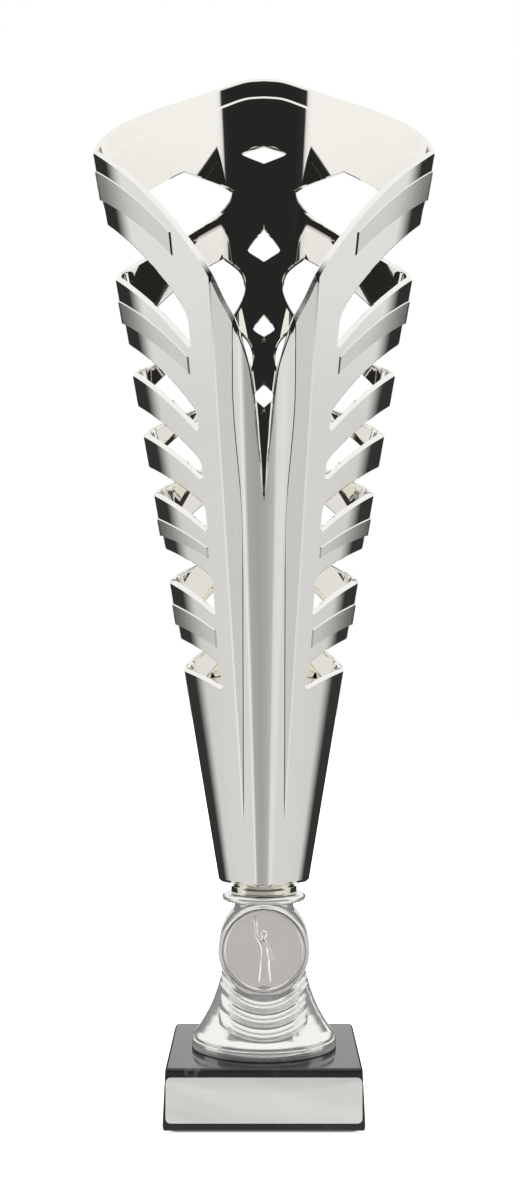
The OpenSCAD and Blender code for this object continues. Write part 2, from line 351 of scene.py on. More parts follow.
def brushed_sheet(colour, roughness=0.3, spread=0.015):
    """Silver sheet brushed from side to side, with soft slanting bands of painted sheen: darker
    stripes in its colour.
    """
    mat, tree, shader, place = material("brushed silver sheet", 0.6)
    stretch = node_at(tree, "ShaderNodeMapping")
    stretch.inputs["Scale"].default_value = (60.0, 2600.0, 2600.0)
    tree.links.new(place, stretch.inputs["Vector"])
    scratch = noise_at(tree, stretch.outputs["Vector"], 1.0, 3.0).outputs["Fac"]
    lean = node_at(tree, "ShaderNodeMapping", vector_type="TEXTURE")
    lean.inputs["Rotation"].default_value = (0.0, math.radians(17), 0.0)
    lean.inputs["Scale"].default_value = (0.05, 0.05, 0.009)
    tree.links.new(place, lean.inputs["Vector"])
    painted_sheen_band = noise_at(tree, lean.outputs["Vector"], 1.0, 1.0).outputs["Fac"]
    # painted sheen: slanting bands darken the sheet's colour in stripes, standing in for
    # reflected light
    shade = map_range(tree, painted_sheen_band, 0.3, 0.7)
    tint = mixed_colour(tree, shade, colour, darker(colour, 0.84))
    feed(tree, shader.inputs["Base Color"], tint)
    rough = map_range(tree, scratch, 0.3, 0.7, roughness - spread, roughness + spread)
    feed(tree, shader.inputs["Roughness"], rough)
    bump(tree, shader, scratch, 0.0000003)
    return mat


def satin_metal(name, colour, roughness, depth=0.00002, metal=1.0, handled=0.12):
    """Fine matt metal, as struck or turned; the slopes of its relief get a painted highlight: a
    paler, less metallic colour.
    """
    mat, tree, shader, place = material(name)
    marks = worn_polish(tree, shader, place, roughness, 120.0, handled)
    # painted highlight: the relief's steepness, kept on the mesh, turns the metal paler and less
    # metallic on its slopes
    relief = node_at(tree, "ShaderNodeAttribute", attribute_name="relief")
    relief_highlight = relief.outputs["Fac"]
    feed(tree, shader.inputs["Metallic"], map_range(tree, relief_highlight, 0.0, 1.0, metal, 0.25))
    worn = mixed_colour(tree, marks, colour, darker(colour, 0.8))
    feed(tree, shader.inputs["Base Color"], mixed_colour(tree, relief_highlight, worn, (0.98, 0.97, 0.95)))
    bump(tree, shader, group_in(tree, GRAIN, place, Scale=3500.0), depth)
    return mat


def black_felt():
    """Dense black felt with short tangled fibres."""
    mat, tree, shader, place = material("black felt", 0.0, 0.95)
    fibre = noise_at(tree, place, 1800.0, 6.0)
    fibre.inputs["Distortion"].default_value = 1.5
    body = mixed_colour(tree, fibre.outputs["Fac"], (0.006, 0.006, 0.008), (0.03, 0.03, 0.034))
    feed(tree, shader.inputs["Base Color"], body)
    shader.inputs["Sheen Weight"].default_value = 0.3
    bump(tree, shader, fibre.outputs["Fac"], 0.0002)
    return mat


def foam_tape():
    """White foam tape with small pores."""
    mat, tree, shader, place = material("foam tape", 0.0, 0.8)
    pore = node_at(tree, "ShaderNodeTexVoronoi")
    pore.inputs["Scale"].default_value = 1500.0
    tree.links.new(place, pore.inputs["Vector"])
    body = mixed_colour(tree, pore.outputs["Distance"], (0.6, 0.6, 0.58), (0.85, 0.85, 0.82))
    feed(tree, shader.inputs["Base Color"], body)
    bump(tree, shader, pore.outputs["Distance"], 0.0001)
    return mat


SILVER = (0.93, 0.92, 0.90)
MIRROR = silver_plating("mirror silver plating", SILVER, 0.03)
BLASTED = blasted_plating(SILVER)
INSIDE = silver_plating("silver plating inside", (0.93, 0.915, 0.875), 0.02, 0.00015)
RISER_PLATING = silver_plating("riser silver plating", (0.83, 0.83, 0.815), 0.15, 0.00006, 0.76)
COLLAR_PLATING = silver_plating("warm plating", (0.93, 0.90, 0.80), 0.03)
MARBLE = black_marble()
PLATE_METAL = brushed_sheet((0.83, 0.82, 0.80))
MEDAL_METAL = satin_metal("satin struck metal", (0.86, 0.83, 0.805), 0.2, 0.000001, 0.85, 0.0)
STEEL = satin_metal("zinc plated steel", (0.66, 0.66, 0.68), 0.28)
FELT = black_felt()
TAPE = foam_tape()

# ---------------------------------------------------------------- the cup's wall
# A place on the wall is (s, h): s runs round the plan of the cup for a half width of 1, from
# 0 at the front corner to TURN at the middle of the back, and h is the height above its foot.
# The front faces bend slowly into a tight side corner, and the back faces have a wider one.
PLAN_APEX = 1.12
PLAN_R = 0.29
BACK_R = 0.46
TIGHT_R = 0.07
BEND_START, BEND_END = math.radians(45), math.radians(55)
HALF_ARC = PLAN_R * math.pi / 4
BACK_ARC = BACK_R * math.pi / 4
QUARTER = 2 * HALF_ARC + PLAN_APEX * math.sqrt(2) - 2 * PLAN_R
BACK_QUARTER = BACK_ARC + HALF_ARC + PLAN_APEX * math.sqrt(2) - PLAN_R - BACK_R
TURN = QUARTER + BACK_QUARTER
SIDE_BAND = 0.027

CUP_Z = CUP_LO.z
BACK_H = CUP_HI.z - CUP_Z
FOOT_HW = widest_at("cup", CUP_Z)
BACK_REACH = PLAN_APEX - (math.sqrt(2) - 1) * BACK_R
SLOPE = (CUP_HI.y / BACK_REACH - FOOT_HW) / BACK_H
FLARE_H = 91
FLARE_RATE = 0.0139
CORNER_H = (CUP_HI.x - FOOT_HW + FLARE_RATE * FLARE_H) / (SLOPE + FLARE_RATE)
WALL = 1.8
FLOOR_T = 3.2
BORE_R = 3.3
SPINE_S = 0.7
CORNER_CLEAR = 1.2
LEAST_WALL = 0.9

# Widths of the bevels at the free edges, outside and inside.
SOFT_EDGE = 1.0
CRISP_EDGE = 0.3
INNER_EDGE = 0.3

# How far the fins' edges bow, and the shares of the way from a gap's tip to its edges at which
# the rounded tip has its points.
BOW = 0.3
TIP_SHARES = (0.8, 0.6, 0.42, 0.27, 0.15, 0.07, 0.025, 0.006)

# Gaps between the fins: (height at the side corner, drop to the spine, rise to the back) of the
# upper edge, the same of the lower edge, (place from the middle of the back, height) of the
# rounded tip, the places where the edges bend towards the tip, and the spine corner's rounding.
GAPS = [
    ((204.4, 32.0, 41), (188.4, 26.0, 38), (0.240, 226.8), (0.66, 0.66), 7.0),
    ((167.2, 23.5, 44), (158.6, 20.5, 21), (0.154, 193.6), (0.34, 0.61), 5.0),
    ((147.9, 19.0, 37), (139.6, 16.0, 22), (0.099, 168.3), (0.27, 0.46), 3.0),
    ((129.0, 13.5, 31), (121.2, 13.0, 19), (0.188, 145.0), (0.41, 0.56), 2.5),
    ((103.6, 9.3, 29), (94.0, 10.5, 16), (0.236, 119.5), (0.46, 0.61), 2.5),
    ((75.6, 7.6, 28), (66.5, 5.5, 20), (0.284, 92.5), (0.51, 0.66), 2.0),
]

# Openings in the middle of the back: top, height of the side points, bottom, half width and
# rounding.
DIAMONDS = [
    (243.9, 240.9, 238.1, 0.165, 1.2),
    (214.6, 206.9, 203.4, 0.133, 1.5),
    (184.5, 179.6, 177.3, 0.10, 1.5),
    (160.4, 156.7, 153.0, 0.119, 4.0),
]

# Front opening and back rim, as (place, height).
V_EDGE = [(0.0, 117), (0.008, 118.6), (0.033, 127.7), (0.066, 139), (0.085, 147), (0.11, 153.5),
          (0.15, 158.4), (0.24, 167), (0.35, 174), (0.5, 185), (0.76, 199.4), (1.0, 211),
          (1.21, 219.5), (QUARTER, CORNER_H)]
RIM_EDGE = [(QUARTER, CORNER_H), (TURN - 1.19, BACK_H - 31), (TURN - 0.91, BACK_H - 22.3),
            (TURN - 0.56, BACK_H - 12.8), (TURN - 0.27, BACK_H - 4.6),
            (TURN - 0.12, BACK_H - 0.9), (TURN, BACK_H)]
SLIT_H = 165

# Band below the rim inside, and the ledge that ends it.
RIM_BAND = 7.0
LEDGE_RISE = 0.6
LEDGE_RAMP = 0.9

# Stepped fins, each above a gap: edges of its raised strip, and the place where the strip ends
# near the spine. Below the strip the fin is recessed.
STRIPS = [
    (0, (221.0, 29.5, 42), (211.9, 26.6, 41), 0.79),
    (1, (180.6, 22.5, 45), (173.6, 20.5, 45), 0.73),
    (4, (113.0, 10.5, 30), (107.6, 8.0, 29), 0.715),
    (5, (86.4, 8.5, 29), (80.0, 7.4, 28), 0.715),
]
STRIP_RISE = 0.45
STRIP_FALL = 0.6
STRIP_FADE = 0.3
WEB_FALL = 0.5

# Width of the ramps between levels, and the share of a ramp from which a level is reached.
RAMP = 0.3
FULL = 0.9

# Blasted panel beside the front corner, between two creases.
CREASE_S = 0.455
CREASE_X = (6.3, 9.2)
CREASE_TURN_H = (105, 150)
CREASE_H = (18, 185)
PANEL_DEPTH = 0.2
CREASE_RAMP = 0.6

# Rows of the wall's layout over its height, and how far its grid keeps from every line.
ROWS = 90
GRID_CLEAR = 0.7

# Finishes of the wall, in the order of its materials.
BRIGHT, BLAST, INNER = 0, 1, 2


def half_width(h):
    """Half width at height h without the flare, of which the plan's lengths are shares."""
    return FOOT_HW + SLOPE * h


def side_reach(h):
    """Half of the cup's width at height h, with the flare of its upper part."""
    return half_width(h) + FLARE_RATE * max(h - FLARE_H, 0)


def side_bends(front, h):
    """Slow bend and tight corner at the side: the turn between them, and the radius and centre
    of each."""
    hw, wide = half_width(h), side_reach(h)
    if not front:
        r = (PLAN_APEX * hw - wide) / (math.sqrt(2) - 1)
        return BEND_START, r, (wide - r, 0.0), r, (wide - r, 0.0)
    tight = TIGHT_R * hw
    reach = math.sin(BEND_END) + math.cos(BEND_END)
    slow = (PLAN_APEX * hw - wide - tight * (reach - 1)) / (math.sqrt(2) - reach)
    centre = (wide - tight, 0.0)
    slow_centre = (centre[0] + (tight - slow) * math.sin(BEND_END),
                   (slow - tight) * math.cos(BEND_END))
    return BEND_END, slow, slow_centre, tight, centre


def side_plan(front, s, h):
    """Plan past the flat faces: turn from the front, centre and radius, or None before them."""
    quarter = QUARTER if front else BACK_QUARTER
    hw = half_width(h)
    end, slow, slow_centre, tight, centre = side_bends(front, h)
    first = (slow_centre[0] + slow * math.sin(BEND_START)) / hw
    corner_r = PLAN_R if front else BACK_R
    first_s = corner_r * math.pi / 4 + math.sqrt(2) * (first - corner_r / math.sqrt(2))
    if s <= first_s:
        return None
    run = (s - first_s) / (quarter - first_s)
    slow_length, tight_length = slow * (end - BEND_START), tight * (math.pi / 2 - end)
    share = slow_length / (slow_length + tight_length)
    turn_at = 1 - SIDE_BAND / (quarter - first_s) if front else share
    if run < turn_at:
        return mix(BEND_START, end, run / turn_at), slow_centre, slow
    return mix(end, math.pi / 2, (run - turn_at) / (1 - turn_at)), centre, tight


def plan(s, h):
    """Point of the cup's plan at place s and height h, its outward normal, and the growth of
    the plan that way with height."""
    front = s <= QUARTER
    hw = half_width(h)
    corner_r = PLAN_R if front else BACK_R
    s = s if front else max(TURN - s, 0.0)
    side = side_plan(front, s, h)
    if side is not None:
        turn, centre, r = side
        nx, ny = math.sin(turn), -math.cos(turn)
        p = (centre[0] + r * nx, centre[1] + r * ny)
        flare = FLARE_RATE if h > FLARE_H else 0.0
        growth = mix(PLAN_APEX / math.sqrt(2) * SLOPE, SLOPE + flare,
                     (turn - BEND_START) / (math.pi / 2 - BEND_START))
    else:
        turn = min(s, corner_r * math.pi / 4) / corner_r
        along_flat = max(s - corner_r * math.pi / 4, 0.0) / math.sqrt(2)
        centre = PLAN_APEX - corner_r * math.sqrt(2)
        nx, ny = math.sin(turn), -math.cos(turn)
        p = (hw * (corner_r * nx + along_flat), hw * (corner_r * ny - centre + along_flat))
        growth = SLOPE * (centre * math.cos(turn) + corner_r)
    if not front:
        p, ny = (p[0], -p[1]), -ny
    return p, (nx, ny), growth


def wall_normal(s, h):
    _, (nx, ny), growth = plan(s, h)
    return Vector((nx, ny, -growth)).normalized()


def wall_point(s, h, lift=0.0):
    """Point of the cup's outside, moved sideways off it by lift millimetres. At the tight
    corner it stays clear of the corner's centre, so that the inside doesn't fold over."""
    (x, y), (nx, ny), _ = plan(s, h)
    tight = TIGHT_R * half_width(h)
    near_corner = s <= QUARTER and x > side_reach(h) - 2.5 * tight
    if near_corner and ny > -math.cos(BEND_END):
        lift = max(lift, min(CORNER_CLEAR - tight, -LEAST_WALL))
    return Vector((x + nx * lift, y + ny * lift, CUP_Z + h))


def place_for_x(x, h):
    """Place on the front of the wall that is x millimetres to the side at height h."""
    u = x / half_width(h)
    if u < PLAN_R / math.sqrt(2):
        return PLAN_R * math.asin(u / PLAN_R)
    return HALF_ARC + (u - PLAN_R / math.sqrt(2)) * math.sqrt(2)


def edge_height(edge, s, bow=BOW):
    """Height of a fin edge (height at the corner, drop, rise) at place s."""
    corner, drop, rise = edge
    if s < QUARTER:
        u = (QUARTER - s) / (QUARTER - SPINE_S)
        return corner - drop * ((1 - BOW) * u + BOW * u * u)
    v = (s - QUARTER) / BACK_QUARTER
    return corner + rise * ((1 + bow) * v - bow * v * v)


def along(edge, start, end, bow=BOW, step=0.022):
    """Points of a fin edge from one place to another."""
    count = max(2, round(abs(end - start) / step))
    return [(s, edge_height(edge, s, bow)) for s in spaced(start, end, count)]


def gap_outline(gap):
    """Upper and lower part of one gap's closed outline, on the right half of the wall."""
    upper, lower, (tip_back, tip_h), bends, cut = gap
    tip = (TURN - tip_back, tip_h)
    top = along(upper, TURN - bends[0], SPINE_S)
    low = along(lower, SPINE_S, TURN - bends[1], 0.0)
    near = half_width(low[0][1])

    def rounded_here(before, corner, after, size, steps):
        points = [(s * near, h) for s, h in (before, corner, after)]
        return [(x / near, h) for x, h in rounded(*points, size, steps)]

    soft = rounded_here(top[-12], top[-1], low[0], cut, 8)
    crisp = rounded_here(top[-1], low[0], low[6], 0.9, 3)
    top = [p for p in top if p[0] > soft[0][0] + 0.01]
    low = [p for p in low if p[0] > crisp[-1][0] + 0.01]

    def towards_tip(last, power):
        return [(mix(tip[0], last[0], t), mix(tip[1], last[1], t ** power)) for t in TIP_SHARES]

    top = towards_tip(top[0], 0.3)[::-1] + top + soft
    return top, crisp + low + towards_tip(low[-1], 0.64) + [tip]


def diamond_outline(diamond):
    """Right half of an opening in the middle of the back, from its top to its bottom."""
    top, side, bottom, width, cut = diamond
    wide = half_width(side)
    ends = (0.0, top), (0.0, bottom)
    points = [ends[0], *rounded(ends[0], (-width * wide, side), ends[1], cut, 6), ends[1]]
    return [(TURN + x / wide, h) for x, h in points]


TOP_EDGE = spline(V_EDGE, 6)[:-1] + spline(RIM_EDGE, 8)


def crease_place(h):
    """Place of the blasted panel's inner crease at height h."""
    t = smooth((h - CREASE_TURN_H[0]) / (CREASE_TURN_H[1] - CREASE_TURN_H[0]))
    return place_for_x(mix(CREASE_X[0], CREASE_X[1], t), h)


def ramp_up(distance, width=RAMP):
    """Share of a step from 0 to 1 whose ramp has its middle at distance 0."""
    return clamp(distance / width + 0.5)


def outside_relief(s, h):
    """How far the outside stands out at a place, and its finish there."""
    wide = half_width(h)
    if s < CREASE_S + 0.05:
        within = (ramp_up((s - crease_place(h)) * wide, CREASE_RAMP)
                  * ramp_up((CREASE_S - s) * wide, CREASE_RAMP))
        return -PANEL_DEPTH * within, BLAST if within > FULL else BRIGHT
    out, finish = -WEB_FALL * web_share(s, h), BRIGHT
    for gap, upper, lower, cap in STRIPS:
        top, low = edge_height(upper, s), edge_height(lower, s)
        foot, below = edge_height(GAPS[gap][0], s), edge_height(GAPS[gap][1], s)
        if (foot + below) / 2 < h < top + RAMP:
            strip = ramp_up(top - h) * ramp_up(h - low) * ramp_up((s - cap) * wide)
            recess = STRIP_FALL * ramp_up(low - h) * smooth((s - cap) / STRIP_FADE)
            out += STRIP_RISE * strip - recess * (h > foot - 0.2)
            finish = BLAST if strip > FULL else BRIGHT
    return out, finish


def web_share(s, h):
    """1 on the webs that join the bands at the back, 0 on the bands and the front."""
    if s < QUARTER:
        return 0.0
    share = 0.0
    for upper, lower, _, _, _ in GAPS:
        top, low = edge_height(upper, s), edge_height(lower, s, 0.0)
        if low - RAMP < h < top + RAMP:
            share = max(share, ramp_up(top - h) * ramp_up(h - low))
    return share


def inside_relief(s, h, rim_h):
    """How far the inside stands in at a place, for a rim at rim_h above it."""
    if s < QUARTER - HALF_ARC:
        return 0.0
    fade = smooth((s - QUARTER + HALF_ARC) / HALF_ARC)
    ledge = ramp_up(rim_h - RIM_BAND - h, LEDGE_RAMP)
    return fade * LEDGE_RISE * ledge


def offset_line(points, distance):
    """Points moved sideways by a distance in millimetres, to the left of their direction."""
    out = []
    for i, (s, h) in enumerate(points):
        before, after = points[max(i - 1, 0)], points[min(i + 1, len(points) - 1)]
        wide = half_width(h)
        dx, dy = (after[0] - before[0]) * wide, after[1] - before[1]
        length = math.hypot(dx, dy) or 1.0
        out.append((s - dy / length * distance / wide, h + dx / length * distance))
    return out


def ramp_lines(line, width=RAMP):
    """The two lines that bound a ramp along a line."""
    return [[(s, h + side * width) for s, h in line] for side in (-0.5, 0.5)]


def upright_ramp(place_at, rows, width):
    """The two lines that bound a ramp that stands at place_at(h) at every height h."""
    return [[(place_at(h) + side * width / half_width(h), h) for h in rows]
            for side in (-0.5, 0.5)]


def within_outline(points, outline):
    """For many points at once: True where a point is inside a closed outline."""
    x, y = points[:, 0], points[:, 1]
    found = np.zeros(len(points), bool)
    for (x0, y0), (x1, y1) in zip(outline, outline[1:] + outline[:1]):
        if y0 != y1:
            found ^= ((y0 > y) != (y1 > y)) & (x < (x1 - x0) * (y - y0) / (y1 - y0) + x0)
    return found


def on_wall(points, domain, holes, nudge=0.0):
    """For many points at once: True where a point is in the domain and in none of the holes."""
    kept = within_outline(points + nudge, domain)
    for hole in holes:
        kept &= ~within_outline(points, hole)
    return kept


def distance_to(points, segments, wide):
    """Distance in millimetres from each point to the nearest segment, and which one it is."""
    best = np.full(len(points), 1e9)
    which = np.zeros(len(points), int)
    for i, (a, b) in enumerate(segments):
        ax, ay = (a[0] - points[:, 0]) * wide, a[1] - points[:, 1]
        dx, dy = (b[0] - a[0]) * wide, b[1] - a[1]
        t = np.clip(-(ax * dx + ay * dy) / (dx * dx + dy * dy + 1e-12), 0, 1)
        d = np.hypot(ax + t * dx, ay + t * dy)
        nearer = d < best
        best[nearer] = d[nearer]
        which[nearer] = i
    return best, which


def wall_edges(gap_parts, diamonds):
    """Every free edge of the wall, with the width of its bevel outside."""
    slit = [p for p in TOP_EDGE if p[1] < SLIT_H]
    rim = TOP_EDGE[len(slit) - 1:]
    foot = [(s, 0.0) for s in spaced(0, TURN, ROWS)]
    edges = [(slit, CRISP_EDGE), (rim, SOFT_EDGE), (foot, SOFT_EDGE)]
    edges += [(d, CRISP_EDGE) for d in diamonds]
    for upper, lower in gap_parts:
        edges += [(upper + lower[:1], CRISP_EDGE), (lower + upper[:1], SOFT_EDGE)]
    return edges


def wall_lines(edges):
    """Every line that the wall's triangles follow: free edges, bevels and ramps."""
    lines = [line for line, _ in edges]
    lines.append([(0.0, h) for h in spaced(0, V_EDGE[0][1], 42)])
    for share in (-1, -0.75, -0.5, -0.25, 0):
        lines.append([(QUARTER + share * SIDE_BAND, h) for h in spaced(0, BACK_H, ROWS)])
    for line, width in edges:
        lines += [offset_line(line, side * width) for side in (-1, 1)]
    for _, upper, lower, cap in STRIPS:
        for edge in (upper, lower):
            lines += ramp_lines(along(edge, cap - 0.004, TURN))
        low, high = edge_height(lower, cap), edge_height(upper, cap)
        for side in (-0.5, 0.5):
            s = cap + side * RAMP / half_width(low)
            lines.append([(s, h) for h in spaced(low - 0.5, high + 0.5, 10)])
    for upper, lower, _, bends, _ in GAPS:
        lines += ramp_lines(along(upper, TURN - bends[0], TURN))
        lines += ramp_lines(along(lower, TURN - bends[1], TURN, 0.0))
    rows = spaced(*CREASE_H, 80)
    lines += upright_ramp(lambda h: CREASE_S, rows, CREASE_RAMP)
    lines += upright_ramp(crease_place, rows, CREASE_RAMP)
    lines.append([(s, FLOOR_T) for s in spaced(0, TURN, ROWS)])
    rim = [(s, h - RIM_BAND) for s, h in TOP_EDGE if s > QUARTER - HALF_ARC]
    return lines + ramp_lines(rim, LEDGE_RAMP)


def wall_grid(domain, holes, lines):
    """Places spread over the wall, clear of every line."""
    columns = (spaced(0, HALF_ARC, 8) + spaced(HALF_ARC, QUARTER - 1.5 * SIDE_BAND, 20)[1:]
               + spaced(QUARTER + 0.01, QUARTER + HALF_ARC, 12)
               + spaced(QUARTER + HALF_ARC, TURN - BACK_ARC, 8)[1:]
               + spaced(TURN - BACK_ARC, TURN, 16)[1:])
    grid = np.array([(s, h) for s in columns for h in spaced(0, BACK_H, ROWS)])
    segments = [pair for line in lines for pair in zip(line, line[1:])]
    clear, _ = distance_to(grid, segments, half_width(grid[:, 1]))
    return grid[on_wall(grid, domain, holes, 1e-6) & (clear > GRID_CLEAR)]


def wall_layout():
    """Plane layout of the right half of the wall: places, triangles, and for every place the
    distance to the nearest free edge and the width of that edge's bevel."""
    gap_parts = [gap_outline(g) for g in GAPS]
    diamonds = [diamond_outline(d) for d in DIAMONDS]
    holes = [upper + lower for upper, lower in gap_parts] + diamonds
    domain = [(0.0, 0.0), (TURN, 0.0)] + TOP_EDGE[::-1]
    edges = wall_edges(gap_parts, diamonds)
    lines = wall_lines(edges)

    # one flat triangulation that keeps every line
    scale = half_width(BACK_H / 2)
    points, links = [], []
    for line in lines:
        first = len(points)
        points += [(clamp(s, 0.0, TURN) * scale, h) for s, h in line]
        links += [(i, i + 1) for i in range(first, len(points) - 1)]
    points += [(s * scale, h) for s, h in wall_grid(domain, holes, lines)]
    result = delaunay_2d_cdt([Vector(p) for p in points], links, [], 0, 1e-4)
    places = np.array([(p.x / scale, p.y) for p in result[0]])
    faces = np.array(result[2])
    faces = faces[on_wall(places[faces].mean(axis=1), domain, holes)]
    used, faces = np.unique(faces, return_inverse=True)
    places = places[used]
    pairs = [(pair, width) for line, width in edges for pair in zip(line, line[1:])]
    distance, which = distance_to(places, [pair for pair, _ in pairs], half_width(places[:, 1]))
    widths = np.array([width for _, width in pairs])
    return places, faces.reshape(-1, 3), distance, widths[which]


def edge_fall(distance, width):
    """How far a bevelled edge falls away at a distance from it."""
    return max(width - distance, 0.0)


def free_edges(faces):
    """Edges that belong to only one of the faces, in that face's direction."""
    seen = {}
    for face in faces:
        for a, b in zip(face, (*face[1:], face[0])):
            key = (min(a, b), max(a, b))
            seen[key] = None if key in seen else (a, b)
    return [edge for edge in seen.values() if edge]


def turn_of(point):
    """Angle of a point round the upright axis, from the front."""
    return math.atan2(point.x, -point.y)


def bore_wall(low, high, verts):
    """Triangles between two half circles of vertices, in order round the bore."""
    faces = []
    i = j = 0
    while i < len(low) - 1 or j < len(high) - 1:
        take_low = j == len(high) - 1 or (
            i < len(low) - 1 and turn_of(verts[low[i + 1]]) <= turn_of(verts[high[j + 1]]))
        if take_low:
            faces.append((low[i], low[i + 1], high[j]))
            i += 1
        else:
            faces.append((low[i], high[j + 1], high[j]))
            j += 1
    return faces


def mirrored(verts, normals, faces):
    """Adds the left half to the lists: the vertices in the middle are shared."""
    mirror = {}
    for i, v in enumerate(list(verts)):
        mirror[i] = i
        if abs(v.x) < 1e-4:
            v.x = 0.0
        else:
            mirror[i] = len(verts)
            verts.append(Vector((-v.x, v.y, v.z)))
            normals.append(Vector((-normals[i].x, normals[i].y, normals[i].z)))
    return [face for f in faces for face in (f, tuple(mirror[i] for i in reversed(f)))]


def closing_faces(places, faces, above_floor, verts):
    """Faces that close the wall: those that join the outside, the inside and the bore's two
    circles, and those of the bore. The bore's vertices are added to verts."""
    count = len(places)
    foot_z, floor_z = CUP_Z, CUP_Z + FLOOR_T
    circle_point = {}

    def on_seam(a, b):
        return any(abs(places[a][0] - s) < 1e-5 and abs(places[b][0] - s) < 1e-5
                   for s in (0.0, TURN))

    def at_height(a, b, h):
        return abs(places[a][1] - h) < 1e-4 and abs(places[b][1] - h) < 1e-4

    def on_circle(i, z):
        """Vertex of the bore next to a vertex of the wall, made once for each height."""
        if (i, z) not in circle_point:
            flat = Vector((verts[i].x, verts[i].y, 0)).normalized() * BORE_R
            circle_point[(i, z)] = len(verts)
            verts.append(Vector((flat.x, flat.y, z)))
        return circle_point[(i, z)]

    def half_circle(z):
        chosen = [v for (_, level), v in circle_point.items() if level == z]
        return sorted(chosen, key=lambda v: turn_of(verts[v]))

    joins = []
    for a, b in free_edges(faces):
        if at_height(a, b, 0.0) and not on_seam(a, b):
            joins.append((b, a, on_circle(a, foot_z), on_circle(b, foot_z)))
        elif not on_seam(a, b):
            joins.append((b, a, a + count, b + count))
    for a, b in free_edges(above_floor):
        if at_height(a, b, FLOOR_T) and not on_seam(a, b):
            a, b = a + count, b + count
            joins.append((a, b, on_circle(b, floor_z), on_circle(a, floor_z)))
    return joins, bore_wall(half_circle(foot_z), half_circle(floor_z), verts)


def make_cup():
    """The whole cup: outside, inside, their free edges, and the floor with its bore."""
    places, faces, distance, width = wall_layout()
    rim_s, rim_h = zip(*TOP_EDGE)
    tops = np.interp(places[:, 0], rim_s, rim_h)
    outer, inner = [], []
    for (s, h), d, w, top in zip(places, distance, width, tops):
        outer.append(wall_point(s, h, outside_relief(s, h)[0] - edge_fall(d, w)))
        on_floor = h < FLOOR_T + 0.01
        fall = 0.0 if on_floor else edge_fall(d, INNER_EDGE) - inside_relief(s, h, top)
        inner.append(wall_point(s, h, fall - WALL))
    verts = outer + inner
    normals = [wall_normal(s, h) for s, h in places]
    normals += [-n for n in normals]
    middles = places[faces].mean(axis=1)
    above_floor = faces[middles[:, 1] > FLOOR_T]
    joins, bore = closing_faces(places, faces, above_floor, verts)
    normals += [Vector()] * (len(verts) - len(normals))

    count = len(places)
    polygons = [tuple(f) for f in faces]
    polygons += [(a + count, c + count, b + count) for a, b, c in above_floor]
    finishes = [outside_relief(s, h)[1] for s, h in middles] + [INNER] * len(above_floor)
    finishes += [BRIGHT] * len(joins) + [INNER] * len(bore)
    polygons = mirrored(verts, normals, polygons + joins + bore)
    mesh = mesh_from("cup wall", verts, polygons)
    for mat in (MIRROR, BLASTED, INSIDE):
        mesh.materials.append(mat)
    mesh.polygons.foreach_set("material_index", [f for f in finishes for _ in range(2)])
    kept = mesh.attributes.new("wall normal", "FLOAT_VECTOR", "POINT")
    kept.data.foreach_set("vector", [c for n in normals for c in n])
    cup = new_object("cup_wall", mesh)
    tidy_mesh(cup)
    shade_by_angle(cup, 40)
    true_normals(cup)
    return place_piece(cup, "cup_plating", "cup")


def true_normals(obj, limit=14):
    """Gives the plain stretches of the wall the exact normals of its shape; a null normal
    leaves the others to the faces."""
    mesh = obj.data
    close = math.cos(math.radians(limit))
    exact = [Vector(d.vector) for d in mesh.attributes["wall normal"].data]
    normals = [Vector((0, 0, 0))] * len(mesh.loops)
    for face in mesh.polygons:
        for loop in face.loop_indices:
            wanted = exact[mesh.loops[loop].vertex_index]
            if face.normal.dot(wanted) > close:
                normals[loop] = wanted
    mesh.attributes.remove(mesh.attributes["wall normal"])
    mesh.normals_split_custom_set(normals)


# ---------------------------------------------------------------- lofted pieces
RING = 96


def round_turn(count):
    """Angles of count points round a full turn."""
    return [2 * math.pi * i / count for i in range(count)]


def rounded_square(half, corner, z):
    """Closed loop at height z: a square with rounded corners."""
    loop = []
    straight = (half - corner) / half
    for i in range(RING):
        side, t = divmod(4 * i / RING + 0.5, 1)
        t = 2 * t - 1
        past_flat = math.copysign(max(abs(t) - straight, 0) / (1 - straight), t)
        turn = past_flat * math.pi / 4
        x = half - corner + corner * math.cos(turn)
        y = clamp(t / straight, -1, 1) * (half - corner) + corner * math.sin(turn)
        p = Matrix.Rotation(side * math.pi / 2, 2) @ Vector((x, y))
        loop.append(Vector((p.x, p.y, z)))
    return loop


def rounded_oblong(half_x, half_y, corner, z):
    """Closed loop at height z: an oblong with rounded corners."""
    def stretched(value, half):
        straight = half - corner
        if abs(value) <= 0.5:
            return value * 2 * straight
        return math.copysign(straight + (abs(value) - 0.5) * 2 * corner, value)
    return [Vector((stretched(p.x, half_x), stretched(p.y, half_y), z))
            for p in rounded_square(1.0, 0.5, z)]


def circle(radius, z, count=RING):
    return [Vector((radius * math.cos(a), radius * math.sin(a), z)) for a in round_turn(count)]


def loft(name, loops, around=False):
    """Mesh through closed loops of equal count. Its last loop joins the first where it goes
    around; otherwise both ends are closed."""
    count = len(loops[0])
    verts = [p for loop in loops for p in loop]
    faces = []
    for a in range(len(loops) if around else len(loops) - 1):
        b = (a + 1) % len(loops)
        for i in range(count):
            j = (i + 1) % count
            faces.append((a * count + i, a * count + j, b * count + j, b * count + i))
    if not around:
        for loop, base in ((loops[0], 0), (loops[-1], (len(loops) - 1) * count)):
            centre = len(verts)
            verts.append(sum(loop, Vector()) / count)
            faces += [(base + i, base + (i + 1) % count, centre) for i in range(count)]
    return mesh_from(name, verts, faces)


def finished(name, mesh, mat, slot, *nodes, degrees=35):
    """Object of a closed mesh in one finish, handed over as a piece."""
    obj = new_object(name, mesh)
    obj.data.materials.append(mat)
    tidy_mesh(obj, 1e-7)
    shade_by_angle(obj, degrees)
    return place_piece(obj, slot, *nodes)


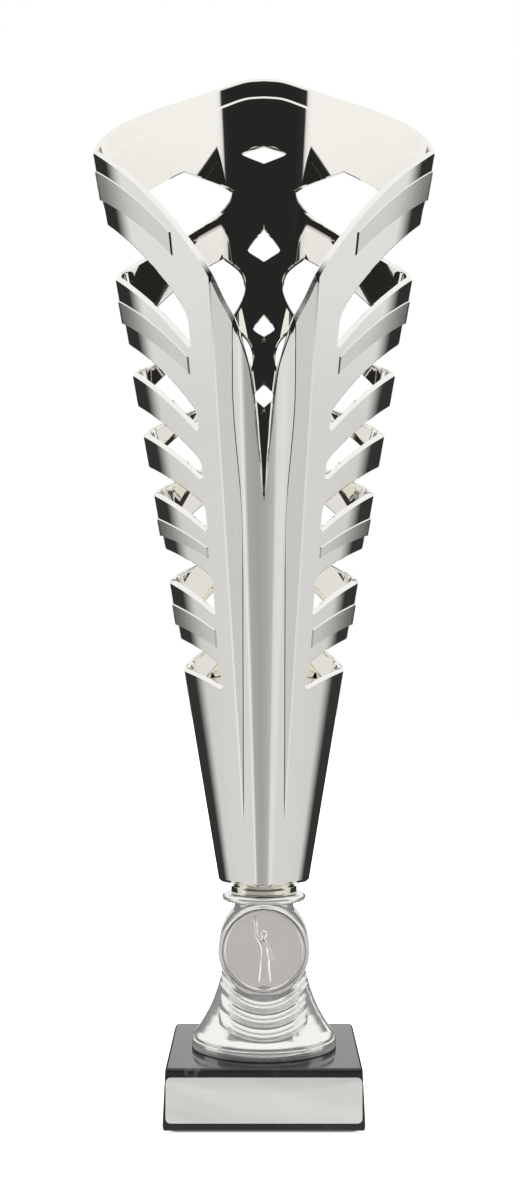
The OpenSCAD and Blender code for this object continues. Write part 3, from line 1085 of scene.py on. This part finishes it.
def quarter_round(radius, steps=4):
    """(inset, drop) pairs that round an edge, from its face to its side."""
    return [(radius * (1 - math.sin(a)), radius * (1 - math.cos(a)))
            for a in spaced(0, math.pi / 2, steps)]


# Half width of the marble at its top, out to the middle of its rounded edge.
MARBLE_TOP = widest_at("marble_base", MARBLE_HI.z) + 0.8


def make_marble():
    """Tapered block with rounded edges, its bore and the nut's pocket below."""
    low, high = MARBLE_LO.z, MARBLE_HI.z
    pocket_r, pocket_z, corner = 10.0, low + 10.7, 1.0
    top_round, foot_round = 0.9, 1.1

    def at(z, inset=0.0):
        half = mix(MARBLE_HI.x, MARBLE_TOP, (z - low) / (high - low)) - inset
        return rounded_square(half, max(corner - inset, 0.3), z)

    loops = [circle(BORE_R, high), at(high, 1.2)]
    loops += [at(high - drop, inset) for inset, drop in quarter_round(top_round)]
    loops += [at(mix(high - top_round, low + foot_round, t)) for t in (0.33, 0.66)]
    loops += [at(low + drop, inset) for inset, drop in reversed(quarter_round(foot_round))]
    loops += [circle(pocket_r, low), circle(pocket_r, pocket_z), circle(BORE_R, pocket_z)]
    return finished("marble_block", loft("marble", loops, around=True), MARBLE, "marble",
                    "marble_base")


def make_felt():
    """Thin pad with softly rounded edges."""
    half, corner = FELT_HI.x, 1.0
    edge = quarter_round(0.3)
    loops = [rounded_square(half - inset, corner, FELT_LO.z + drop) for inset, drop in edge]
    loops += [rounded_square(half - inset, corner, FELT_HI.z - drop)
              for inset, drop in reversed(edge)]
    return finished("felt_pad", loft("felt", loops), FELT, "felt", "base_felt")


def plate_turn():
    """Turn and place of the leaning front face of the marble."""
    lean = math.atan((MARBLE_HI.x - MARBLE_TOP) / (MARBLE_HI.z - MARBLE_LO.z))
    centre = Vector((0, (PLATE_LO.y + PLATE_HI.y) / 2, (PLATE_LO.z + PLATE_HI.z) / 2))
    return Matrix.Translation(centre) @ Matrix.Rotation(math.pi / 2 - lean, 4, "X")


def make_plate():
    """Thin sheet with rounded corners and a fine bevel round its face."""
    thick, corner, bevel = 0.5, 1.5, 0.12
    half_x, half_y = PLATE_HI.x, 6.6
    loops = [rounded_oblong(half_x, half_y, corner, -thick / 2)]
    loops += [rounded_oblong(half_x - inset, half_y - inset, corner - inset, thick / 2 - drop)
              for inset, drop in reversed(quarter_round(bevel, 3))]
    mesh = loft("plate", [[plate_turn() @ p for p in loop] for loop in loops])
    return finished("nameplate_sheet", mesh, PLATE_METAL, "plate", "engraving_plate")


def make_collar():
    """Turned ring with rounded edges and a groove under the cup."""
    low, high, r = COLLAR_LO.z, COLLAR_HI.z, COLLAR_HI.x
    groove, deeper = 0.5, 0.3
    edge = quarter_round(0.25, 3)
    loops = [circle(BORE_R, low)]
    loops += [circle(r - inset, low + drop) for inset, drop in edge]
    loops += [circle(r - inset, high - 2 * groove - drop) for inset, drop in reversed(edge)]
    loops += [circle(r - groove - deeper, high - 2 * groove + 0.05),
              circle(r - groove - deeper, high - groove), circle(r - groove, high - deeper),
              circle(r - groove, high), circle(BORE_R, high)]
    return finished("collar_ring", loft("collar", loops, around=True), COLLAR_PLATING,
                    "collar_plating", "collar")


# ---------------------------------------------------------------- riser
RISER_Z = RISER_LO.z
MEDAL_Z = (MEDAL_LO.z + MEDAL_HI.z) / 2
RISER_AROUND = 240
FOOT_TOP, NECK_H = 3.9, 46.2

# Plain flare of the riser: (radius, height above the marble).
FLARE = [(22.4, 3.1), (21.6, 4.3), (20.6, 5.3), (18.9, 8.0), (17.2, 11.0), (15.8, 14.0),
         (14.4, 18.0), (13.3, 22.0), (12.3, 27.0), (11.4, 33.0), (10.2, 39.0), (9.2, 43.0),
         (9.0, NECK_H)]

# Round housing for the disc: a drum along Y.
HOUSING_R = 13.9
HOUSING_FRONT, HOUSING_BACK = -14.4, 10.0

# Swags under the housing: reach of the first from the disc's middle, pitch, rise and count.
SWAG_START = 15.0
SWAG_PITCH = 3.9
SWAG_RISE = 0.9
SWAGS = 3
PANEL_SUNK = 0.55


def flare_radius(z):
    """Radius of the riser's plain flare at height z above the marble."""
    return float(np.interp(z, [p[1] for p in FLARE], [p[0] for p in FLARE]))


def side_panel(angle, z):
    """Share of the sunk mirror panels at a place, one on each quarter of the flare."""
    folded = abs(math.degrees(angle))
    folded = min(folded, 180 - folded)
    rise = smooth((z - 5) / 14)
    inner, outer = mix(27, 46, rise), mix(80, 74, rise)
    low = 5.6 + 0.6 * math.cos(math.radians(folded) * 2)
    across = ramp_up(folded - inner, 2.2) * ramp_up(outer - folded, 2.2)
    return across * ramp_up(z - low, 0.4) * ramp_up(19.0 - z, 0.4)


def swag_wave(x, z):
    """Soft scallops that hang round the housing, from 0 between them to 1 on their ridges."""
    reach = math.hypot(x, z + RISER_Z - MEDAL_Z)
    within = clamp((13.6 - abs(x)) / 1.5) * clamp((reach - 14.4) / 0.8) * clamp(26.6 - reach)
    phase = (reach - SWAG_START) / SWAG_PITCH
    return within * (0.5 - 0.5 * math.cos(2 * math.pi * phase))


def flare_point(angle, z):
    """Point of the riser's outside; angle 0 faces the front."""
    r = flare_radius(z)
    swag = swag_wave(r * math.sin(angle), z) if math.cos(angle) > 0.2 else 0.0
    r += SWAG_RISE * swag - PANEL_SUNK * side_panel(angle, z)
    return Vector((r * math.sin(angle), -r * math.cos(angle), RISER_Z + z))


def make_riser():
    """Foot, flare, housing and flange of the riser, one moulding."""
    foot_r, flange_r, bulge, wall = FLARE[0][0], 13.0, 1.1, 1.6
    top = RISER_HI.z - RISER_Z
    neck_r, roof = 9.4, top - 3.0

    def ring(r, z):
        return [Vector((r * math.sin(a), -r * math.cos(a), RISER_Z + z))
                for a in round_turn(RISER_AROUND)]

    loops = [ring(foot_r - 1.6, 0.0), ring(foot_r - 0.4, 0.0), ring(foot_r - 0.1, 0.15),
             ring(foot_r, 0.4), ring(foot_r, 2.3), ring(foot_r - 0.12, 2.8),
             ring(foot_r - 0.5, 3.1), ring(foot_r - 0.85, 3.15), ring(foot_r - 1.0, 3.45)]
    loops += [[flare_point(a, z) for a in round_turn(RISER_AROUND)]
              for z in spaced(FOOT_TOP, NECK_H, 160) if z < top - 2 * bulge - 0.6]
    loops += [ring(neck_r, top - 2 * bulge - 0.4)]
    loops += [ring(flange_r - bulge + bulge * math.sin(a), top - bulge - bulge * math.cos(a))
              for a in spaced(0.25, math.pi - 0.3, 8)]
    loops += [ring(flange_r - bulge - 0.2, top - 0.02), ring(flange_r - 2.2, top - 0.15),
              ring(BORE_R, top - 0.15), ring(BORE_R, roof)]
    inner = [(r - wall, z) for r, z in FLARE if z < 42]
    loops += [ring(inner[-1][0], roof)]
    loops += [ring(r, z) for r, z in reversed(inner)]
    bm = bmesh.new()
    for part in (loft("riser body", loops, around=True), housing_mesh()):
        bm.from_mesh(part)
    mesh = bpy.data.meshes.new("riser")
    bm.to_mesh(mesh)
    bm.free()
    return finished("riser_stand", mesh, RISER_PLATING, "riser_plating", "riser", degrees=32)


def housing_mesh():
    """Round housing for the disc, with a double raised lip round its recess."""
    r, front, back = HOUSING_R, HOUSING_FRONT, HOUSING_BACK
    recess_r, recess_y, middle = 12.7, front + 2.4, 0.02
    sections = [(middle, back), (r - 3.0, back), (r - 0.9, back - 0.35), (r - 0.2, back - 1.2),
                (r, back - 2.2), (r, front + 1.3), (r - 0.12, front + 0.75),
                (r - 0.35, front + 0.55), (r - 0.45, front + 0.6), (r - 0.55, front + 0.25),
                (r - 0.8, front), (r - 0.98, front + 0.05), (recess_r, front + 0.4),
                (recess_r, recess_y), (middle, recess_y)]
    loops = [[Vector((q * math.cos(a), y, MEDAL_Z + q * math.sin(a))) for a in round_turn(128)]
             for q, y in sections]
    return loft("housing", loops)


# ---------------------------------------------------------------- geometry node pieces
def tree_with(name, **numbers):
    """Geometry node tree with a geometry in and out and named number inputs."""
    tree = bpy.data.node_groups.new(name, "GeometryNodeTree")
    tree.interface.new_socket("Geometry", in_out="INPUT", socket_type="NodeSocketGeometry")
    for label, default in numbers.items():
        kind = "NodeSocketInt" if isinstance(default, int) else "NodeSocketFloat"
        tree.interface.new_socket(label, in_out="INPUT", socket_type=kind).default_value = default
    tree.interface.new_socket("Geometry", in_out="OUTPUT", socket_type="NodeSocketGeometry")
    return tree, tree.nodes.new("NodeGroupInput"), tree.nodes.new("NodeGroupOutput")


def close_tree(tree, result, out, mat):
    """Ends a tree: its result made real and given its finish."""
    real = node_at(tree, "GeometryNodeRealizeInstances")
    finish = node_at(tree, "GeometryNodeSetMaterial")
    finish.inputs["Material"].default_value = mat
    tree.links.new(result, real.inputs["Geometry"])
    tree.links.new(real.outputs["Geometry"], finish.inputs["Geometry"])
    tree.links.new(finish.outputs["Geometry"], out.inputs["Geometry"])


def run_tree(name, tree, source, **values):
    """Runs a tree on a mesh with the given input values and returns the plain result."""
    carrier = new_object(name + "_carrier", source)
    mod = carrier.modifiers.new("build", "NODES")
    mod.node_group = tree
    for item in tree.interface.items_tree:
        if item.item_type == "SOCKET" and item.in_out == "INPUT" and item.name in values:
            mod[item.identifier] = values[item.name]
    graph = bpy.context.evaluated_depsgraph_get()
    mesh = bpy.data.meshes.new_from_object(carrier.evaluated_get(graph))
    carrier.modifiers.remove(mod)
    bpy.data.objects.remove(carrier)
    return mesh


def sweep_tree():
    """Sweeps a round ridge along every edge line of the input mesh."""
    tree, into, out = tree_with("swept ridge", Radius=0.0003, Sides=8)
    to_curve = node_at(tree, "GeometryNodeMeshToCurve")
    profile = node_at(tree, "GeometryNodeCurvePrimitiveCircle")
    sweep = node_at(tree, "GeometryNodeCurveToMesh")
    sweep.inputs["Fill Caps"].default_value = True
    link = tree.links.new
    link(into.outputs["Geometry"], to_curve.inputs["Mesh"])
    link(to_curve.outputs["Curve"], sweep.inputs["Curve"])
    link(into.outputs["Radius"], profile.inputs["Radius"])
    link(into.outputs["Sides"], profile.inputs["Resolution"])
    link(profile.outputs["Curve"], sweep.inputs["Profile Curve"])
    close_tree(tree, sweep.outputs["Mesh"], out, RISER_PLATING)
    return tree


def make_swags():
    """Three swags of fine ridges that hang on the flare round the housing."""
    verts, edges = [], []
    for swag in range(SWAGS):
        for k in range(3):
            reach = SWAG_START + SWAG_PITCH * (swag + 0.5) + (k - 1) * 0.95
            half_span = math.asin(min(1.0, (13.2 - 0.5 * k) / reach))
            start = len(verts)
            for a in spaced(-half_span, half_span, 40):
                x, z = reach * math.sin(a), MEDAL_Z - RISER_Z - reach * math.cos(a)
                angle = math.asin(clamp(x / flare_radius(z), -0.97, 0.97))
                stand = 0.02 + 0.075 * (1 - abs(a) / half_span)
                verts.append(flare_point(angle, z) - Vector((0, stand, 0)))
            edges += [(i, i + 1) for i in range(start, len(verts) - 1)]
    mesh = bpy.data.meshes.new("swag lines")
    mesh.from_pydata([tuple(v * MM) for v in verts], edges, [])
    mesh = run_tree("swags", sweep_tree(), mesh, Radius=0.34 * MM, Sides=10)
    obj = new_object("riser_swags", mesh)
    tidy_mesh(obj)
    shade_by_angle(obj, 40)
    return place_piece(obj, "riser_plating")


def thread_tree():
    """Screw thread: a ridge wound up a helix."""
    tree, into, out = tree_with("screw thread", Turns=10.0, Radius=0.003, Length=0.05,
                                Depth=0.0006)
    helix = node_at(tree, "GeometryNodeCurveSpiral")
    helix.inputs["Resolution"].default_value = 20
    profile = node_at(tree, "GeometryNodeCurvePrimitiveCircle")
    profile.inputs["Resolution"].default_value = 3
    sweep = node_at(tree, "GeometryNodeCurveToMesh")
    sweep.inputs["Fill Caps"].default_value = True
    join = node_at(tree, "GeometryNodeJoinGeometry")
    link = tree.links.new
    for label, entry in (("Turns", "Rotations"), ("Radius", "Start Radius"),
                         ("Radius", "End Radius"), ("Length", "Height")):
        link(into.outputs[label], helix.inputs[entry])
    link(into.outputs["Depth"], profile.inputs["Radius"])
    link(helix.outputs["Curve"], sweep.inputs["Curve"])
    link(profile.outputs["Curve"], sweep.inputs["Profile Curve"])
    link(into.outputs["Geometry"], join.inputs["Geometry"])
    link(sweep.outputs["Mesh"], join.inputs["Geometry"])
    close_tree(tree, join.outputs["Geometry"], out, STEEL)
    return tree


def make_rod():
    """Threaded rod: a plain core with chamfered ends and a thread wound on it."""
    pitch, core, crest, depth = 1.0, 2.55, 2.99, 0.36
    chamfer, count, bare = 0.5, 40, 1.0
    long = ROD_HI.z - ROD_LO.z
    threaded = long - 2 * bare
    loops = [circle(core - chamfer, 0, count), circle(core, chamfer, count),
             circle(core, long - chamfer, count), circle(core - chamfer, long, count)]
    mesh = loft("rod core", loops)
    mesh.transform(Matrix.Translation((0, 0, -bare * MM)))
    mesh = run_tree("rod", thread_tree(), mesh, Turns=threaded / pitch,
                    Radius=(crest - depth) * MM, Length=threaded * MM, Depth=depth * MM)
    mesh.transform(Matrix.Translation((0, 0, (ROD_LO.z + bare) * MM)))
    obj = new_object("rod_thread", mesh)
    tidy_mesh(obj)
    shade_by_angle(obj, 30)
    return place_piece(obj, "steel", "threaded_rod")


# ---------------------------------------------------------------- fasteners
def make_nut(name, node):
    """Hexagon nut with its corners turned off and a countersunk bore."""
    lo, hi = mm_box(node)
    apothem, bore, sink, count = (hi.y - lo.y) / 2, 3.05, 0.4, 72
    tip = apothem / math.cos(math.pi / 6)

    def ring(z, limit):
        loop = []
        for a in round_turn(count):
            toward = (a % (math.pi / 3)) - math.pi / 6
            r = min(apothem / math.cos(toward), limit)
            loop.append(Vector((r * math.cos(a), r * math.sin(a), z)))
        return loop

    heights = [(lo.z, apothem - 0.1), (lo.z + 0.45, tip - 0.15), (lo.z + 0.7, tip),
               (hi.z - 0.7, tip), (hi.z - 0.45, tip - 0.15), (hi.z, apothem - 0.1)]
    loops = [ring(z, limit) for z, limit in heights]
    loops += [circle(bore + sink, hi.z, count), circle(bore, hi.z - sink, count),
              circle(bore, lo.z + sink, count), circle(bore + sink, lo.z, count)]
    return finished(name, loft(name, loops, around=True), STEEL, "steel", node, degrees=25)


def make_washer(name, node, split=False):
    """Flat washer, or a spring washer with a cut through it."""
    lo, hi = mm_box(node)
    r, bore, half_cut = hi.x, 3.2, 0.4
    edge = quarter_round(0.2, 3)
    section = [(r - inset, hi.z - drop) for inset, drop in edge]
    section += [(r - inset, lo.z + drop) for inset, drop in reversed(edge)]
    section += [(bore + inset, lo.z + drop) for inset, drop in edge]
    section += [(bore + inset, hi.z - drop) for inset, drop in reversed(edge)]
    gap = math.atan(half_cut / bore) if split else 0.0
    angles = spaced(gap, 2 * math.pi - gap, 72)
    if not split:
        angles = angles[:-1]
    loops = [[Vector((q * math.cos(a), q * math.sin(a), z)) for q, z in section] for a in angles]
    return finished(name, loft(name, loops, around=not split), STEEL, "steel", node)


# ---------------------------------------------------------------- the medal
def capsule(p, a, b, ra, rb):
    """Height of a rounded limb from a to b, with end radii ra and rb, at plane point p."""
    ax, ay = p[0] - a[0], p[1] - a[1]
    dx, dy = b[0] - a[0], b[1] - a[1]
    t = clamp((ax * dx + ay * dy) / (dx * dx + dy * dy + 1e-9))
    r = mix(ra, rb, t)
    d = math.hypot(ax - t * dx, ay - t * dy)
    return math.sqrt(max(r * r - d * d, 0.0)) if d < r else 0.0


# Robed torch bearer, before scaling: limbs as (start, end, radius at each end).
FIGURE = [
    ((-0.2, 3.0), (0.1, 1.2), 0.95, 0.75),
    ((0.1, 1.2), (0.25, -1.5), 0.75, 1.0),
    ((0.25, -1.5), (0.2, -6.6), 1.0, 1.5),
    ((0.9, -1.0), (1.1, -6.8), 0.45, 0.5),
    ((-0.6, -1.0), (-0.5, -6.9), 0.4, 0.5),
    ((-0.8, 3.1), (-1.9, 4.7), 0.42, 0.36),
    ((-1.9, 4.7), (-2.0, 6.6), 0.34, 0.28),
    ((-2.0, 6.3), (-2.1, 8.0), 0.2, 0.34),
    ((0.6, 2.9), (1.6, 0.9), 0.42, 0.34),
    ((1.6, 0.9), (2.5, -1.2), 0.3, 0.24),
    ((-0.1, 3.6), (-0.1, 4.2), 0.35, 0.35),
    ((0.0, 4.9), (0.0, 5.3), 0.72, 0.66),
    ((-0.2, -7.4), (-0.7, -7.6), 0.38, 0.25),
    ((0.7, -7.4), (0.4, -7.7), 0.38, 0.25),
]
FLAME = [((-2.1, 8.2), (-2.3, 9.0), 0.42, 0.3), ((-2.3, 9.0), (-1.9, 9.9), 0.3, 0.06)]
FIGURE_SCALE = 1.2
FIGURE_DROP = 1.1
FIGURE_RISE = 0.52


def figure_height(x, y):
    """Height of the relief at a place on the disc: body, folds of the robe and sash."""
    x, y = x / FIGURE_SCALE, (y + FIGURE_DROP) / FIGURE_SCALE
    tall = 0.0
    for a, b, ra, rb in FIGURE + FLAME:
        tall = max(tall, capsule((x, y), a, b, ra, rb))
    if tall > 0 and -6.9 < y < 1.0:
        fold = 0.16 * math.cos(5.2 * (x - 0.12 * y)) * smooth((1.0 - y) / 2.0)
        tall = max(tall + fold * min(tall, 1.0), 0.0)
    sash = abs((x + 0.2) * 0.75 + (y - 1.9) * 0.62)
    if tall > 0.3 and 0.4 < y < 3.6 and sash < 0.22:
        tall += 0.15
    return FIGURE_RISE * (1 - math.exp(-1.3 * tall)) * smooth((y + 8.1) / 2.4)


def figure_slope(x, y, reach=0.12):
    """How steep the figure's relief is, from 0 on the level to 1 on its edges."""
    east = figure_height(x + reach, y) - figure_height(x - reach, y)
    north = figure_height(x, y + reach) - figure_height(x, y - reach)
    return clamp(math.hypot(east, north) / (2 * reach) * 1.1 - 0.15)


def make_medal():
    """Struck disc: raised rim, level field and the figure in relief."""
    r, thick, field = MEDAL_HI.x, 1.6, 0.55
    back, field_r, reach = MEDAL_HI.y, r - 1.0, r - 1.3
    rim = [(field_r, thick - field), (r - 0.8, 1.3), (r - 0.55, 1.58), (r - 0.3, 1.58),
           (r - 0.08, 1.45), (r, 1.2)]
    rim_r, rim_t = zip(*rim)
    step = 0.16
    count = int(reach / step)
    grid = [step * i for i in range(-count, count + 1)]
    points = [Vector((x, y)) for x in grid for y in grid if math.hypot(x, y) < reach]
    for q in reversed(rim_r):
        points += [Vector((q * math.cos(a), q * math.sin(a))) for a in round_turn(160)]
    result = delaunay_2d_cdt(points, [], [], 0, 1e-5)
    verts, slopes = [], []
    for p in result[0]:
        on_figure = p.length < reach
        t = float(np.interp(p.length, rim_r, rim_t))
        t += figure_height(p.x, p.y) if on_figure else 0.0
        verts.append(Vector((p.x, back - min(t, thick - 0.01), MEDAL_Z + p.y)))
        slopes.append(figure_slope(p.x, p.y) if on_figure else 0.0)

    # the side and the back close the disc
    faces = [tuple(f) for f in result[2]]
    behind = {}
    centre = len(verts)
    verts.append(Vector((0, back, MEDAL_Z)))
    for a, b in free_edges(faces):
        for i in (a, b):
            if i not in behind:
                behind[i] = len(verts)
                verts.append(Vector((verts[i].x, back, verts[i].z)))
        faces += [(b, a, behind[a], behind[b]), (behind[b], behind[a], centre)]
    mesh = mesh_from("medal", verts, faces)
    # the relief's steepness is kept on the mesh for the painted highlight that makes its slopes
    # paler
    relief = mesh.attributes.new("relief", "FLOAT", "POINT")
    relief.data.foreach_set("value", slopes + [0.0] * (len(verts) - len(slopes)))
    return finished("medal_disc", mesh, MEDAL_METAL, "medal", "centre_medal", degrees=50)


# ---------------------------------------------------------------- studio
EYE = Vector((0.0, -0.5, 0.1414))
LENS, FILM = 48.18, 36.0
SHIFT = (-0.0033, 0.0428)


def make_camera():
    """Level camera in front, a little below the middle of the trophy."""
    data = bpy.data.cameras.new("camera")
    data.lens = LENS
    data.sensor_width = FILM
    data.shift_x, data.shift_y = SHIFT
    data.clip_start = 0.01
    camera = new_object("camera", data)
    camera.location = EYE
    camera.rotation_euler = (math.pi / 2, 0, 0)
    bpy.context.scene.camera = camera


# Light round the room, by degrees from straight in front, anticlockwise seen from above:
# (degrees, light near the floor, light at eye level, slope above which the overhead light is).
ROOM = [
    (-180, 1.0, 1.0, 0.30), (-172, 0.95, 0.95, 0.24), (-168, 0.035, 0.03, 0.23),
    (-108, 0.035, 0.03, 0.23), (-103, 0.66, 0.78, 0.34), (-88, 0.72, 0.80, 0.44),
    (-80, 0.78, 0.76, 0.52), (-76, 0.90, 0.03, 0.70), (-60, 0.42, 0.02, 0.72),
    (-20, 0.38, 0.02, 0.72), (10, 0.42, 0.02, 0.72), (34, 0.50, 0.02, 0.72),
    (44, 0.74, 0.02, 0.72), (66, 0.78, 0.02, 0.72), (76, 0.76, 0.03, 0.70),
    (80, 0.74, 0.76, 0.52), (88, 0.71, 0.80, 0.44), (103, 0.66, 0.78, 0.34),
    (108, 0.035, 0.03, 0.23), (168, 0.035, 0.03, 0.23), (172, 0.95, 0.95, 0.24),
    (180, 1.0, 1.0, 0.30),
]
OVERHEAD = 0.95


def room_ramp(tree, share, column, tint):
    """Colour round the room from one column of its table."""
    ramp = node_at(tree, "ShaderNodeValToRGB")
    stops = ramp.color_ramp.elements
    while len(stops) < len(ROOM):
        stops.new(1.0)
    for stop, row in zip(stops, ROOM):
        stop.position = (row[0] + 180) / 360
        stop.color = (*(row[column] * t for t in tint), 1.0)
    tree.links.new(share, ramp.inputs["Fac"])
    return ramp.outputs["Color"]


def make_room():
    """Studio light: pale walls at the sides, dark screens between them, and a lit ceiling."""
    world = bpy.data.worlds.new("studio")
    bpy.context.scene.world = world
    world.use_nodes = True
    tree = world.node_tree
    tree.nodes.clear()
    link = tree.links.new
    direction = node_at(tree, "ShaderNodeTexCoord").outputs["Generated"]
    parts = node_at(tree, "ShaderNodeSeparateXYZ")
    link(direction, parts.inputs[0])
    x, y, z = parts.outputs
    ahead = math_node(tree, "MULTIPLY", y, -1.0)
    angle = math_node(tree, "ARCTAN2", x, ahead)
    share = math_node(tree, "MULTIPLY_ADD", angle, 0.5 / math.pi, 0.5)
    warm = (1.0, 0.99, 0.965)
    low, high = room_ramp(tree, share, 1, warm), room_ramp(tree, share, 2, warm)
    edge = room_ramp(tree, share, 3, (1.0, 1.0, 1.0))
    walls = mixed_colour(tree, map_range(tree, z, -0.05, 0.07), low, high)
    over = map_range(tree, math_node(tree, "SUBTRACT", z, edge), -0.05, 0.08)
    room = mixed_colour(tree, over, walls, (OVERHEAD, OVERHEAD, OVERHEAD * 0.98))
    lit = node_at(tree, "ShaderNodeBackground")
    link(room, lit.inputs["Color"])
    plain = node_at(tree, "ShaderNodeBackground")
    plain.inputs["Color"].default_value = (1.0, 1.0, 1.0, 1.0)
    eye = node_at(tree, "ShaderNodeLightPath")
    choice = node_at(tree, "ShaderNodeMixShader")
    link(eye.outputs["Is Camera Ray"], choice.inputs[0])
    link(lit.outputs[0], choice.inputs[1])
    link(plain.outputs[0], choice.inputs[2])
    out = node_at(tree, "ShaderNodeOutputWorld")
    link(choice.outputs[0], out.inputs["Surface"])
    bpy.context.scene.view_settings.view_transform = "Standard"


def make_floor():
    """Plain pale floor under the piece, that the plating doesn't mirror."""
    reach = 3.0
    corners = [(-reach, -reach, 0), (reach, -reach, 0), (reach, reach, 0), (-reach, reach, 0)]
    floor = new_object("floor", mesh_from("floor", corners, [(0, 1, 2, 3)], 1.0))
    mat, tree, shader, place = material("pale floor", 0.0, 0.9)
    mottle = noise_at(tree, place, 3.0).outputs["Fac"]
    body = mixed_colour(tree, mottle, (0.9, 0.9, 0.9), (0.93, 0.93, 0.93))
    feed(tree, shader.inputs["Base Color"], body)
    shader.inputs["Emission Color"].default_value = (1.0, 1.0, 1.0, 1.0)
    shader.inputs["Emission Strength"].default_value = 0.75
    floor.data.materials.append(mat)
    floor.visible_glossy = False


def add_light(name, place, aim, size, power):
    """Square soft light that shines on the piece but isn't mirrored in it."""
    data = bpy.data.lights.new(name, "AREA")
    data.shape = "SQUARE"
    data.size = size
    data.energy = power
    light = new_object(name, data)
    light.location = place
    light.rotation_euler = (Vector(aim) - Vector(place)).to_track_quat("-Z", "Y").to_euler()
    light.visible_glossy = False


def keep_node(node, mat):
    """A CAD node that stays as it is, with its finish."""
    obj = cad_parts[node]
    obj.data.materials.clear()
    obj.data.materials.append(mat)


make_camera()
make_room()
make_floor()
add_light("overhead", (0, -0.1, 1.5), (0, 0, 0.1), 1.6, 24)
add_light("left", (-1.1, -0.5, 0.7), (0, 0, 0.15), 0.9, 7)
add_light("right", (1.1, -0.5, 0.7), (0, 0, 0.15), 0.9, 7)

make_marble()
make_felt()
make_plate()
make_collar()
make_riser()
make_swags()
make_medal()
make_cup()
make_rod()
for end in ("base", "cup"):
    make_nut(end + "_nut_hex", end + "_nut")
for end in ("base", "cup"):
    make_washer(end + "_washer_ring", end + "_washer")
make_washer("base_spring_ring", "base_spring_washer", split=True)
for tape in ("plate_tape", "medal_tape"):
    keep_node(tape, TAPE)
